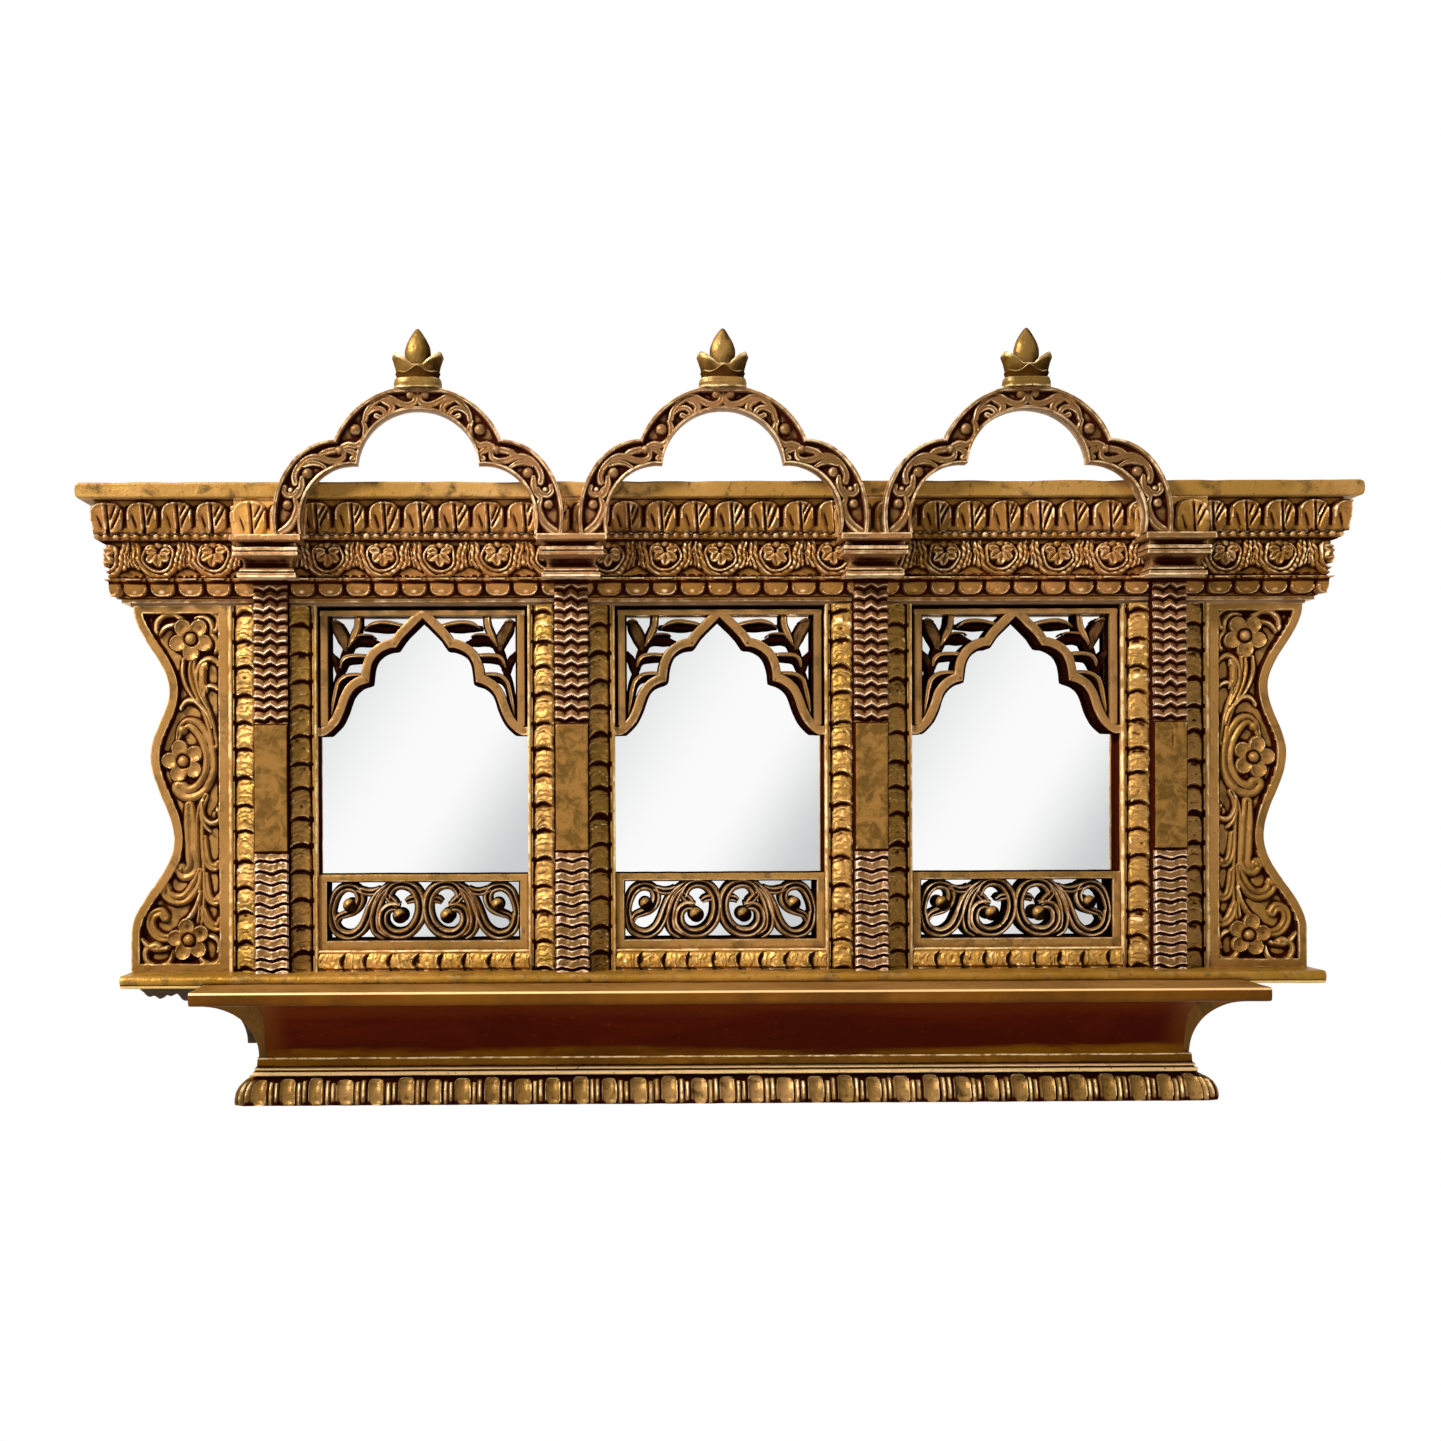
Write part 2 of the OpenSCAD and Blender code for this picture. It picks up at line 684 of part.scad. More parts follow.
module arch(i) {
    groove = arch_face - groove_d;
    color(gold) difference() {
        translate([bay_x(i), 0, abacus_top_z]) difference() {
            outer_lobes(0, arch_back, arch_face);
            inner_lobes(0, arch_back - 1, arch_face + 1);
            difference() {
                outer_lobes(arch_rim, groove, arch_face + 1);
                inner_lobes(arch_bevel, groove - 1, arch_face + 2);
                block(-arch_half, arch_half, groove - 1, arch_face + 2, -1, arch_rim);
            }
            block(-arch_half - 1, arch_half + 1, arch_back - 1, arch_face + 2, -haunch_rise, 0);
            block(-crown_half, crown_half, arch_back - 1, arch_face + 2, seat_z - abacus_top_z, arch_h + 1);
        }
        dowels_at(i, dowel_d / 2 + fit_gap);
    }
}

module dowels_at(i, r) {
    for (side = [-1, 1])
        translate([bay_x(i) + side * (arch_half - arch_foot_w / 2), -dowel_out, abacus_top_z - dowel_l / 2])
            cylinder(r = r, h = dowel_l);
    translate([bay_x(i), -dowel_out, seat_z - dowel_l / 2]) cylinder(r = r, h = dowel_l);
}

module finial(i) {
    bud_low = finial_h * 0.42;
    notch_z = finial_h * 0.52;
    centre = arch_back + arch_t / 2;
    profile = concat(
        [[0, 0], [finial_foot_r, 0], [finial_foot_r - 0.5, finial_h * 0.15],
            [finial_foot_r - 2.5, finial_h * 0.18], [finial_foot_r - 2.5, finial_h * 0.32],
            [finial_leaf_r - 1, finial_h * 0.5], [finial_leaf_r, finial_h * 0.65],
            [bud_r + 1.5, finial_h * 0.55]],
        ellipse([0, bud_low], bud_r, finial_h - bud_low, 22, 90, 6));
    color(gold) difference() {
        intersection() {
            translate([bay_x(i), -centre, seat_z]) rotate_extrude() polygon(profile);
            block(bay_x(i) - bay_pitch / 2, bay_x(i) + bay_pitch / 2,
                centre - finial_t / 2, centre + finial_t / 2, seat_z, seat_z + finial_h);
        }
        dowels_at(i, dowel_d / 2 + fit_gap);
        for (turn = [45, 135])
            translate([bay_x(i), -centre, seat_z + notch_z]) rotate([0, 0, turn])
                difference() {
                    translate([-finial_leaf_r * 1.5, -4, 0]) cube([finial_leaf_r * 3, 8, finial_h / 4]);
                    translate([-bud_r - 1, -5, -1]) cube([2 * bud_r + 2, 10, finial_h / 4 + 2]);
                }
    }
}

module dowels() {
    color(wood) for (i = [1:bays]) dowels_at(i, dowel_d / 2);
}

// Brackets
function bracket_w(t) =
    let (k = max([for (j = [0:len(bracket_keys) - 2]) if (bracket_keys[j][0] <= t) j]),
        a = bracket_keys[k], b = bracket_keys[k + 1])
    a[1] + (b[1] - a[1]) * ease((t - a[0]) / (b[0] - a[0]));

module bracket_outline(rim) {
    h = window_top_z - sill_top_z;
    inner = frame_half + (rim > 0 ? bracket_strip : 0);
    steps = 48;
    polygon(concat(
        [[inner, sill_top_z + rim], [inner, window_top_z - rim]],
        [for (k = [0:steps]) let (t = rim / h + (1 - 2 * rim / h) * k / steps)
            [frame_half + bracket_w(t) - rim, window_top_z - t * h]]));
}

// A five-petalled flower standing on the carved ground
module flower(x, z, r) {
    ground = frame_t - bracket_ground_d;
    for (petal = [0:4])
        translate([x + r * 0.6 * sin(72 * petal), -ground + 1, z + r * 0.6 * cos(72 * petal)])
            rotate([90, 0, 0]) cylinder(r = r * 0.4, h = bracket_ground_d);
    translate([x, -ground + 1, z]) rotate([90, 0, 0]) cylinder(r = r * 0.3, h = bracket_ground_d + 1);
}

// A pointed leaf from p to q, bowed to the left of its way, as points
function pointed(p, q, bow, w) = concat(bowed(p, q, bow + w / 2), bowed(q, p, w / 2 - bow));

module bracket_body() {
    top = window_top_z;
    r = bracket_flower_r;
    middle_x = frame_half + bracket_scroll_r + 16;
    middle_z = top - 152;
    foot_z = sill_top_z + r + bracket_rim + 5;
    ground = frame_t - bracket_ground_d;
    difference() {
        upright(frame_t - bracket_t, frame_t) bracket_outline(0);
        upright(ground, frame_t + 1) bracket_outline(bracket_rim);
    }
    flower(frame_half + 39, top - r - bracket_rim - 4, r);
    flower(middle_x, middle_z, r);
    flower(frame_half + 43, foot_z, r);
    intersection() {
        difference() {
            upright(ground - 1, frame_t - 1) polygon(
                ellipse([middle_x, middle_z], bracket_scroll_r, bracket_scroll_r * 1.3, 0, 360, 40));
            upright(ground - 2, frame_t) polygon(
                ellipse([middle_x, middle_z], bracket_scroll_r - 5, bracket_scroll_r * 1.3 - 5, 0, 360, 40));
        }
        upright(ground - 2, frame_t) bracket_outline(bracket_rim - 1);
    }
    bracket_leaf([34, -55], [18, -118], -6);
    bracket_leaf([14, -60], [22, -112], 5);
    bracket_leaf([42, -58], [28, -108], 6);
    bracket_leaf([34, -192], [22, -270], -6);
    bracket_leaf([22, -205], [36, -300], 8);
    bracket_leaf([48, -205], [38, -262], 6);
    bracket_leaf([54, -238], [38, -290], 5);
}

module bracket_leaf(p, q, bow) {
    ground = frame_t - bracket_ground_d;
    translate([frame_half, 0, window_top_z]) upright(ground - 1, frame_t - 2) polygon(pointed(p, q, bow, 7));
}

module bracket_left() {
    color(gold) mirror([1, 0, 0]) bracket_body();
}

module bracket_right() {
    color(gold) bracket_body();
}

// Window panels
// The cusped edge of the right half, from the side up to the point
function cusp_line() =
    let (half = window_w / 2, top = -arch_point_drop,
        foot = [half, -arch_panel_h], third = [half - 25.5, top - 92],
        second = [half - 48.5, top - 57.5], first = [half - 73.5, top - 22.5])
    concat(bowed(foot, third, 3.5), bowed(third, second, -5), bowed(second, first, -6),
        bowed(first, [0, top], -2.5), [[0, top]]);

module carved_leaf(p, q, bow) {
    upright(panel_face - panel_t + 2, panel_face - 2) polygon(pointed(p, q, bow, leaf_w));
}

module spandrel_half() {
    half = window_w / 2;
    back = panel_face - panel_t;
    line = cusp_line();
    band = cusp_band_w;
    stem = half - 20;
    block(0, half, back, panel_face, -head_rail_h, 0);
    block(half - side_rail_w, half, back, panel_face, -arch_panel_h, 0);
    intersection() {
        upright(back, panel_face) polygon(concat(line, [[0, band - arch_point_drop]],
            flip([for (p = line) p + [band, band]])));
        block(0, half, back, panel_face, -arch_panel_h, 0);
    }
    carved_leaf([half - 6, -2], [stem, -60], -3);
    carved_leaf([half - 7, -111], [stem, -53], 3);
    carved_leaf([stem + 1, -50], [half - 38, -3], 3);
    carved_leaf([half - 27, -30], [half - 89, -16], -5);
    carved_leaf([stem + 1, -45], [half - 69, -36], -7);
    carved_leaf([stem + 1, -61], [half - 55, -49], -7);
    carved_leaf([half - 13, -79], [half - 45, -67], -5);
}

module spandrel_panel(i) {
    color(gold) translate([bay_x(i), 0, window_top_z])
        for (side = [0, 1]) mirror([side, 0, 0]) spandrel_half();
}

module scroll_panel(i) {
    half = window_w / 2;
    back = panel_face - panel_t;
    low = window_low_z;
    high = window_low_z + scroll_panel_h;
    mid = (low + scroll_foot_h + high - scroll_rail_h) / 2;
    r = (high - scroll_rail_h - low - scroll_foot_h) / 2 + 1;
    step = (half - side_rail_w) / 2;
    color(gold) translate([bay_x(i), 0, 0]) union() {
        block(-half, half, back, panel_face, low, low + scroll_foot_h);
        block(-half, half, back, panel_face, high - scroll_rail_h, high);
        block(-half, side_rail_w - half, back, panel_face, low, high);
        block(half - side_rail_w, half, back, panel_face, low, high);
        for (k = [-1.5:1:1.5]) translate([k * step, -back - 1, mid]) rotate([90, 0, 0]) {
            difference() {
                cylinder(r = r, h = panel_t - 2);
                translate([0, 0, -1]) cylinder(r = r - scroll_strip_w, h = panel_t);
            }
            cylinder(r = scroll_eye_r, h = panel_t - 2);
            rotate([0, 0, k > 0 ? 65 : 115]) translate([0, -scroll_strip_w / 2, 1])
                cube([r - 2, scroll_strip_w, panel_t - 4]);
        }
    }
}

// Glass and backing
module mirror_pane(i) {
    g = rebate_w - pane_gap;
    color([0.85, 0.88, 0.9]) block(bay_x(i) - window_w / 2 - g, bay_x(i) + window_w / 2 + g,
        rebate_d - mirror_t, rebate_d, window_low_z - g, window_top_z + g);
}

module mirror_backing(i) {
    g = rebate_w - pane_gap;
    color([0.6, 0.48, 0.33]) block(bay_x(i) - window_w / 2 - g, bay_x(i) + window_w / 2 + g,
        rebate_d - mirror_t - backing_t, rebate_d - mirror_t, window_low_z - g, window_top_z + g);
}

module backing_pins() {
    color("silver") for (i = [1:bays]) pins_at(i, pin_d / 2);
}

// Sill, shelf and base
module sill_board() {
    half = frame_half + bracket_foot_w + sill_side;
    nose = sill_t / 2;
    color(gold) union() {
        block(-half, half, 0, sill_face - nose, sill_low_z, sill_top_z);
        translate([-half, -(sill_face - nose), sill_low_z + nose]) rotate([0, 90, 0])
            cylinder(r = nose, h = 2 * half);
    }
}

module shelf() {
    color(gold) run(-shelf_half, shelf_half, [[0, shelf_low_z], [shelf_face - 3, shelf_low_z],
        [shelf_face, shelf_low_z + 3], [shelf_face, shelf_top_z - 3], [shelf_face - 3, shelf_top_z],
        [sill_face, shelf_top_z], [sill_face, sill_low_z], [0, sill_low_z]]);
}

// A hollow curve as [distance, z] points, from its foot up to its tip
function hollow_curve(foot, reach, low, rise, steps = 12) =
    [for (k = [0:steps]) let (a = 90 * k / steps) [foot + reach * (1 - cos(a)), low + rise * sin(a)]];

module hollow_moulding() {
    reach = shelf_face - hollow_setback - hollow_foot;
    back = hollow_foot - hollow_t;
    color(dark_gold) run(-hollow_half, hollow_half, concat([[back, hollow_low_z]],
        hollow_curve(hollow_foot, reach, hollow_low_z, hollow_h), [[back, shelf_low_z]]));
}

module wing() {
    tip = shelf_half - wing_setback;
    upright(backboard_t, sill_face) polygon(concat([[hollow_half, shelf_low_z], [hollow_half, hollow_low_z]],
        hollow_curve(base_half, tip - base_half, hollow_low_z, hollow_h - wing_lip), [[tip, shelf_low_z]]));
}

module wing_left() {
    color(gold) mirror([1, 0, 0]) wing();
}

module wing_right() {
    color(gold) wing();
}

module shelf_backboard() {
    foot = base_half + backboard_show;
    tip = shelf_half + 14;
    low = hollow_low_z + backboard_rise;
    side = concat([[0, shelf_low_z], [0, low]],
        hollow_curve(foot, tip - foot, low, hollow_h - wing_lip - backboard_rise), [[tip, shelf_low_z]]);
    ear_x = -frame_half - bracket_foot_w;
    color(wood) union() {
        upright(0, backboard_t) polygon(side);
        mirror([1, 0, 0]) upright(0, backboard_t) polygon(side);
        upright(0, backboard_t) polygon([[-tip + 1, shelf_low_z - wing_lip], [ear_x + 8, sill_low_z - ear_h],
            [ear_x, sill_low_z], [-shelf_half, sill_low_z], [-shelf_half, shelf_low_z],
            [-tip + 1, shelf_low_z]]);
    }
}

module base_moulding() {
    low_face = hollow_foot + base_spread;
    foot_lip = base_h * 0.23;
    ovolo = [for (k = [0:6]) let (a = 90 * k / 6, grow = base_spread * cos(a))
        [base_half + grow, hollow_foot + grow, base_low_z + foot_lip + (base_h - foot_lip) * sin(a)]];
    fillets = [[3, 0], [3, 0.5], [0, 0.6], [1, 0.7], [1, 1], [0, 1]];
    inner = base_half - base_wall;
    color(gold) difference() {
        returned(concat([[base_half + base_spread, low_face, base_low_z]], ovolo,
            [for (f = fillets) [base_half + f[0], hollow_foot + f[0], base_top_z + f[1] * fillet_h]],
            [[base_half, hollow_foot, hollow_low_z]]));
        block(-inner, inner, -1, hollow_foot - base_wall, base_low_z - 1, hollow_low_z + 1);
    }
}

module base_board() {
    half = base_half - base_wall;
    color(wood) block(-half, half, 0, hollow_foot - base_wall, base_low_z, base_low_z + base_board_t);
}

// Fixings
module hanger_plates() {
    color("silver") for (x = plate_xs()) difference() {
        block(x - plate_w / 2, x + plate_w / 2, 0, plate_t, -plate_h / 2, plate_h / 2);
        translate([x, 1, 0]) rotate([90, 0, 0]) cylinder(r = keyhole_r, h = plate_t + 2);
        block(x - keyhole_slot_w / 2, x + keyhole_slot_w / 2, -1, plate_t + 1, 0, keyhole_slot_l);
        translate([x, 1, keyhole_slot_l]) rotate([90, 0, 0])
            cylinder(r = keyhole_slot_w / 2, h = plate_t + 2);
        for (side = [-1, 1]) screw_hole(x, side * plate_screw_z, screw_d / 2 + fit_gap, plate_t + 1);
        for (side = [-1, 1]) translate([x, 0.01, side * plate_screw_z]) rotate([90, 0, 0])
            cylinder(r1 = screw_d, r2 = screw_d / 2, h = screw_d / 2);
    }
}

module hanger_screws() {
    color("silver") for (x = plate_xs(), side = [-1, 1])
        translate([x, 0, side * plate_screw_z]) rotate([90, 0, 0]) union() {
            cylinder(r1 = screw_d - fit_gap, r2 = screw_d / 2 - fit_gap, h = screw_d / 2);
            cylinder(r = screw_d / 2 - fit_gap, h = screw_l - 3);
            translate([0, 0, screw_l - 3]) cylinder(r1 = screw_d / 2 - fit_gap, r2 = 0.3, h = 3);
        }
}

for (i = [1:stiles]) {
    frame_stile(i);
    pilaster(i);
    capital(i);
    leaf_block(i);
}
for (i = [1:bays]) {
    bottom_rail(i);
    arch(i);
    finial(i);
    spandrel_panel(i);
    scroll_panel(i);
    mirror_pane(i);
    mirror_backing(i);
}
top_rail();
top_board();
leaf_frieze();
bead_strip();
flower_frieze();
scallop_moulding();
dowels();
bracket_left();
bracket_right();
backing_pins();
sill_board();
shelf();
hollow_moulding();
wing_left();
wing_right();
shelf_backboard();
base_moulding();
base_board();
hanger_plates();
hanger_screws();
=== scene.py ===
import math

import bmesh
import bpy
import numpy as np
from mathutils import Euler, Matrix, Vector


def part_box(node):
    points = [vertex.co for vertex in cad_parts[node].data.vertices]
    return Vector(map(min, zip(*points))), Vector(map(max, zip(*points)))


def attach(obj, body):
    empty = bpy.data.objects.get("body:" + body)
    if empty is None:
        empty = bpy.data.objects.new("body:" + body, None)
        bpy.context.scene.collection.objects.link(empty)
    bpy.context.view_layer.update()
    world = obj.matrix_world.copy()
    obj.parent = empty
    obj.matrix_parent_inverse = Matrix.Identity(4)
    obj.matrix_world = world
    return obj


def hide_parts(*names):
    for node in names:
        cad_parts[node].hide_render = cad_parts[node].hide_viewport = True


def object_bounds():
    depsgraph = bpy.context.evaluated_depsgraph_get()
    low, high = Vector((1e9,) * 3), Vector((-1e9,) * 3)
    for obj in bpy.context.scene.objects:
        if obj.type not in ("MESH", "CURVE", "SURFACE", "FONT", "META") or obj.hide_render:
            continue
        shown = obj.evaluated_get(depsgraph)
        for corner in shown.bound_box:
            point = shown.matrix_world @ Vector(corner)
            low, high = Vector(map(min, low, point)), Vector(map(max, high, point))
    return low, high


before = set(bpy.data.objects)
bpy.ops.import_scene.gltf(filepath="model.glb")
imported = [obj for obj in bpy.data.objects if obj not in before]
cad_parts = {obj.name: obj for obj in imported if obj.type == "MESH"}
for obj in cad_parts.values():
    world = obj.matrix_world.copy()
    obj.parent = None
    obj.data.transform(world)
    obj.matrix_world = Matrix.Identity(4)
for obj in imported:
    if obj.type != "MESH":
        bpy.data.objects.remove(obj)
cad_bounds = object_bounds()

scene = bpy.context.scene
MM = 0.001


# Places taken from the frame

def limits(node):
    """A node's box: x from and to, distance out from the wall from and to, z from and to."""
    low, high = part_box(node)
    return low.x / MM, high.x / MM, -high.y / MM, -low.y / MM, low.z / MM, high.z / MM


BAYS, STILES = (1, 2, 3), (1, 2, 3, 4)
PANE_LAP = 6
panes = [limits(f"mirror_pane_{i}") for i in BAYS]
bays = [(pane[0] + pane[1]) / 2 for pane in panes]
window_low = panes[0][4] + PANE_LAP
_, rail_half, _, frame_face, _, _ = limits("top_rail")
stile_boxes = [limits(f"frame_stile_{i}") for i in STILES]
stiles = [(b[0] + b[1]) / 2 for b in stile_boxes]
stile_half = (stile_boxes[0][1] - stile_boxes[0][0]) / 2
frame_side = stiles[3] + stile_half
sill_face, sill_low = limits("sill_board")[3:5]
BASE_SPREAD = 17
base_top_half = limits("base_moulding")[1] - BASE_SPREAD
# Backs of the cornice mouldings: half their length and their distance from the wall
CORNICE_BACK = (rail_half + 2, frame_face + 1)


# Curves and random variation

def steps(start, stop, spacing):
    """Even steps from start to stop, about the given spacing apart."""
    return np.linspace(start, stop, max(2, int(round(abs(stop - start) / spacing)) + 1))


def flowing(points, spacing=1.5):
    """Points along a smooth curve through the points given."""
    p = np.array(points, float)
    if len(p) == 2:
        t = steps(0, 1, spacing / max(spacing, np.linalg.norm(p[1] - p[0])))
        return p[0] + (p[1] - p[0]) * t[:, None]
    p = np.vstack([2 * p[0] - p[1], p, 2 * p[-1] - p[-2]])
    found = []
    for a, b, c, d in zip(p, p[1:], p[2:], p[3:]):
        t = np.arange(0, 1, min(0.5, spacing / max(1e-6, np.linalg.norm(c - b))))[:, None]
        found.append(0.5 * (2 * b + (c - a) * t + (2 * a - 5 * b + 4 * c - d) * t ** 2
                            + (3 * b - a - 3 * c + d) * t ** 3))
    return np.vstack(found + [p[-2:-1]])


def ease(t):
    """A soft step from 0 to 1."""
    t = np.clip(t, 0, 1)
    return t * t * (3 - 2 * t)


def hump(x, centre, width):
    """A soft hump of height 1."""
    return np.exp(-((x - centre) / width) ** 2)


def arc(x, r):
    """A half round of height 1, over x from -r to r."""
    return np.sqrt(np.clip(1 - (x / r) ** 2, 0, 1))


def waver(points, size, seed):
    """Smooth random values between -1 and 1 that change over the given size."""
    lattice = np.random.RandomState(seed).uniform(-1, 1, (19, 19, 19))
    p = np.asarray(points, float) / size
    cell = np.floor(p).astype(int)
    f = p - cell
    f = f * f * (3 - 2 * f)
    total = 0
    for dx in (0, 1):
        for dy in (0, 1):
            for dz in (0, 1):
                share = np.abs(1 - dx - f[..., 0]) * np.abs(1 - dy - f[..., 1]) * np.abs(1 - dz - f[..., 2])
                total = total + share * lattice[(cell[..., 0] + dx) % 19, (cell[..., 1] + dy) % 19,
                                                (cell[..., 2] + dz) % 19]
    return total


def hand_cut(table, amount=0.25, size=14, seed=1):
    """Moves a table of points a little, as a carver's hand does."""
    shift = np.stack([waver(table, size, seed + k) for k in range(3)], -1)
    fine = np.stack([waver(table, size / 4, seed + 3 + k) for k in range(3)], -1)
    return table + amount * (shift + 0.35 * fine)


# Solid shapes

SHARP_FROM = 42


def column(x, out, z):
    """One more column for a table of points."""
    return np.stack(np.broadcast_arrays(x, out, z), -1)[:, None]


def dense_path(points, spacing):
    """Points along straight stretches, about the given spacing apart."""
    found = []
    for (a0, b0), (a1, b1) in zip(points, points[1:]):
        n = max(1, int(round(math.hypot(a1 - a0, b1 - b0) / spacing)))
        found += [(a0 + (a1 - a0) * t / n, b0 + (b1 - b0) * t / n) for t in range(n)]
    return np.array(found + [points[-1]])


def skin(table, tone=None):
    """A closed shape through a table of points, with rows along it and columns round it.
    tone paints a point dark (to 1) as painted shade, or pale (to -1) as painted highlight."""
    tone = np.zeros(table.shape[:2]) if tone is None else np.broadcast_to(tone, table.shape[:2])
    table = np.concatenate([table, table[:, :1]], axis=1)
    tone = np.concatenate([tone, tone[:, :1]], axis=1)
    rows, columns = table.shape[:2]
    bm = bmesh.new()
    bmesh.ops.create_grid(bm, x_segments=columns - 1, y_segments=rows - 1, size=1)
    mesh = bpy.data.meshes.new("skin")
    bm.to_mesh(mesh)
    mesh.vertices.foreach_set("co", (table.reshape(-1, 3) * (MM, -MM, MM)).ravel())
    mesh.attributes.new("tone", "FLOAT", "POINT").data.foreach_set("value", tone.astype(np.float32).ravel())
    bm.clear()
    bm.from_mesh(mesh)
    bpy.data.meshes.remove(mesh)
    bmesh.ops.remove_doubles(bm, verts=bm.verts, dist=1e-6)
    bmesh.ops.holes_fill(bm, edges=[e for e in bm.edges if e.is_boundary], sides=0)
    bmesh.ops.recalc_face_normals(bm, faces=bm.faces)
    if bm.calc_volume(signed=True) < 0:
        bmesh.ops.reverse_faces(bm, faces=bm.faces)
    return bm


def store_wear_and_shading(mesh):
    """Stores how proud and how sunken each point is, with the tone's painted highlights and painted shade
    added in: pale for the gilding's rubbed edges and painted highlights, dark for its ground in the hollows,
    as patina and painted shade.
    """
    count = len(mesh.vertices)
    co = np.empty(count * 3)
    mesh.vertices.foreach_get("co", co)
    co = co.reshape(-1, 3) / MM
    normals = np.empty(count * 3)
    mesh.vertex_normals.foreach_get("vector", normals)
    normals = normals.reshape(-1, 3)
    ends = np.empty(len(mesh.edges) * 2, np.int32)
    mesh.edges.foreach_get("vertices", ends)
    a, b = ends[0::2], ends[1::2]
    joined = (np.bincount(a, minlength=count) + np.bincount(b, minlength=count))[:, None]
    spacing = np.median(np.linalg.norm(co[a] - co[b], axis=1))

    def blurred(reach):
        p = co.copy()
        for _ in range(int(np.clip(round(2 * (reach / spacing) ** 2), 1, 60))):
            near = np.stack([np.bincount(a, p[b, k], count) + np.bincount(b, p[a, k], count)
                             for k in range(3)], 1)
            p = 0.5 * (p + near / np.maximum(joined, 1))
        return p

    proud = np.sum((co - blurred(1.4)) * normals, 1) / 0.5
    sunken = -np.sum((co - blurred(4.2)) * normals, 1) / 1.15
    if spacing > 0.4 and count > 4000:
        sunken = np.maximum(sunken, -np.sum((co - blurred(9)) * normals, 1) / 2.1)
    if "tone" in mesh.attributes:
        tone = np.empty(count, np.float32)
        mesh.attributes["tone"].data.foreach_get("value", tone)
        sunken = np.maximum(sunken, 2 * tone - 1) + 1.5 * np.minimum(tone, 0)
        proud = np.maximum(proud, -2 * tone - 1) - 1.5 * np.maximum(tone, 0)
    # Pale: rubbed gilt and painted highlights. Dark: patina and painted shade in the hollows.
    for name, values in (("rubbed_and_highlit", proud), ("hollow", sunken)):
        layer = mesh.attributes.new(name, "FLOAT", "POINT")
        layer.data.foreach_set("value", np.clip(values * 0.5 + 0.5, 0, 1).astype(np.float32))


def piece(name, parts, finish, node):
    """One object of the mirror, from its closed shapes, that dresses a node."""
    mesh = bpy.data.meshes.new(name)
    whole = bmesh.new()
    for part in parts:
        part.to_mesh(mesh)
        whole.from_mesh(mesh)
        part.free()
    whole.to_mesh(mesh)
    whole.free()
    mesh.materials.append(finish)
    mesh.polygons.foreach_set("use_smooth", [True] * len(mesh.polygons))
    mesh.set_sharp_from_angle(angle=math.radians(SHARP_FROM))
    store_wear_and_shading(mesh)
    made = bpy.data.objects.new(name, mesh)
    scene.collection.objects.link(made)
    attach(made, "root")
    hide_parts(node)


def rounded_box(x0, x1, out0, out1, z0, z1, r=1.5, spacing=5, worn=0.2, seed=1):
    """A board with rounded long edges and soft ends, running along X."""
    corners = [(out0, z0), (out1, z0), (out1, z1), (out0, z1)]
    ring = []
    for k, (o, z) in enumerate(corners):
        po, pz = corners[k - 1]
        no, nz = corners[(k + 1) % 4]
        back = np.array([np.sign(po - o), np.sign(pz - z)])
        ahead = np.array([np.sign(no - o), np.sign(nz - z)])
        for t in (0, 0.5, 1):
            ring.append(np.array([o, z]) + r * (back * (1 - t) + ahead * t)
                        * (1 if t != 0.5 else 0.586))
        length = abs(no - o) + abs(nz - z)
        for t in steps(r, length - r, spacing)[1:-1]:
            ring.append(np.array([o, z]) + ahead * t)
    ring = np.array(ring)
    x = np.concatenate([[x0, x0 + 0.3 * r], steps(x0 + r, x1 - r, spacing), [x1 - 0.3 * r, x1]])
    inset = np.minimum(x - x0, x1 - x)
    shrink = np.where(inset < r, r - np.sqrt(np.maximum(0, r * r - (r - inset) ** 2)), 0)
    centre = np.array([(out0 + out1) / 2, (z0 + z1) / 2])
    reach = np.array([(out1 - out0) / 2, (z1 - z0) / 2])
    table = np.empty((len(x), len(ring), 3))
    table[..., 0] = x[:, None]
    for k in (0, 1):
        scale = (reach[k] - shrink) / reach[k]
        table[..., k + 1] = centre[k] + (ring[None, :, k] - centre[k]) * scale[:, None]
    return skin(hand_cut(table, worn, 22, seed))


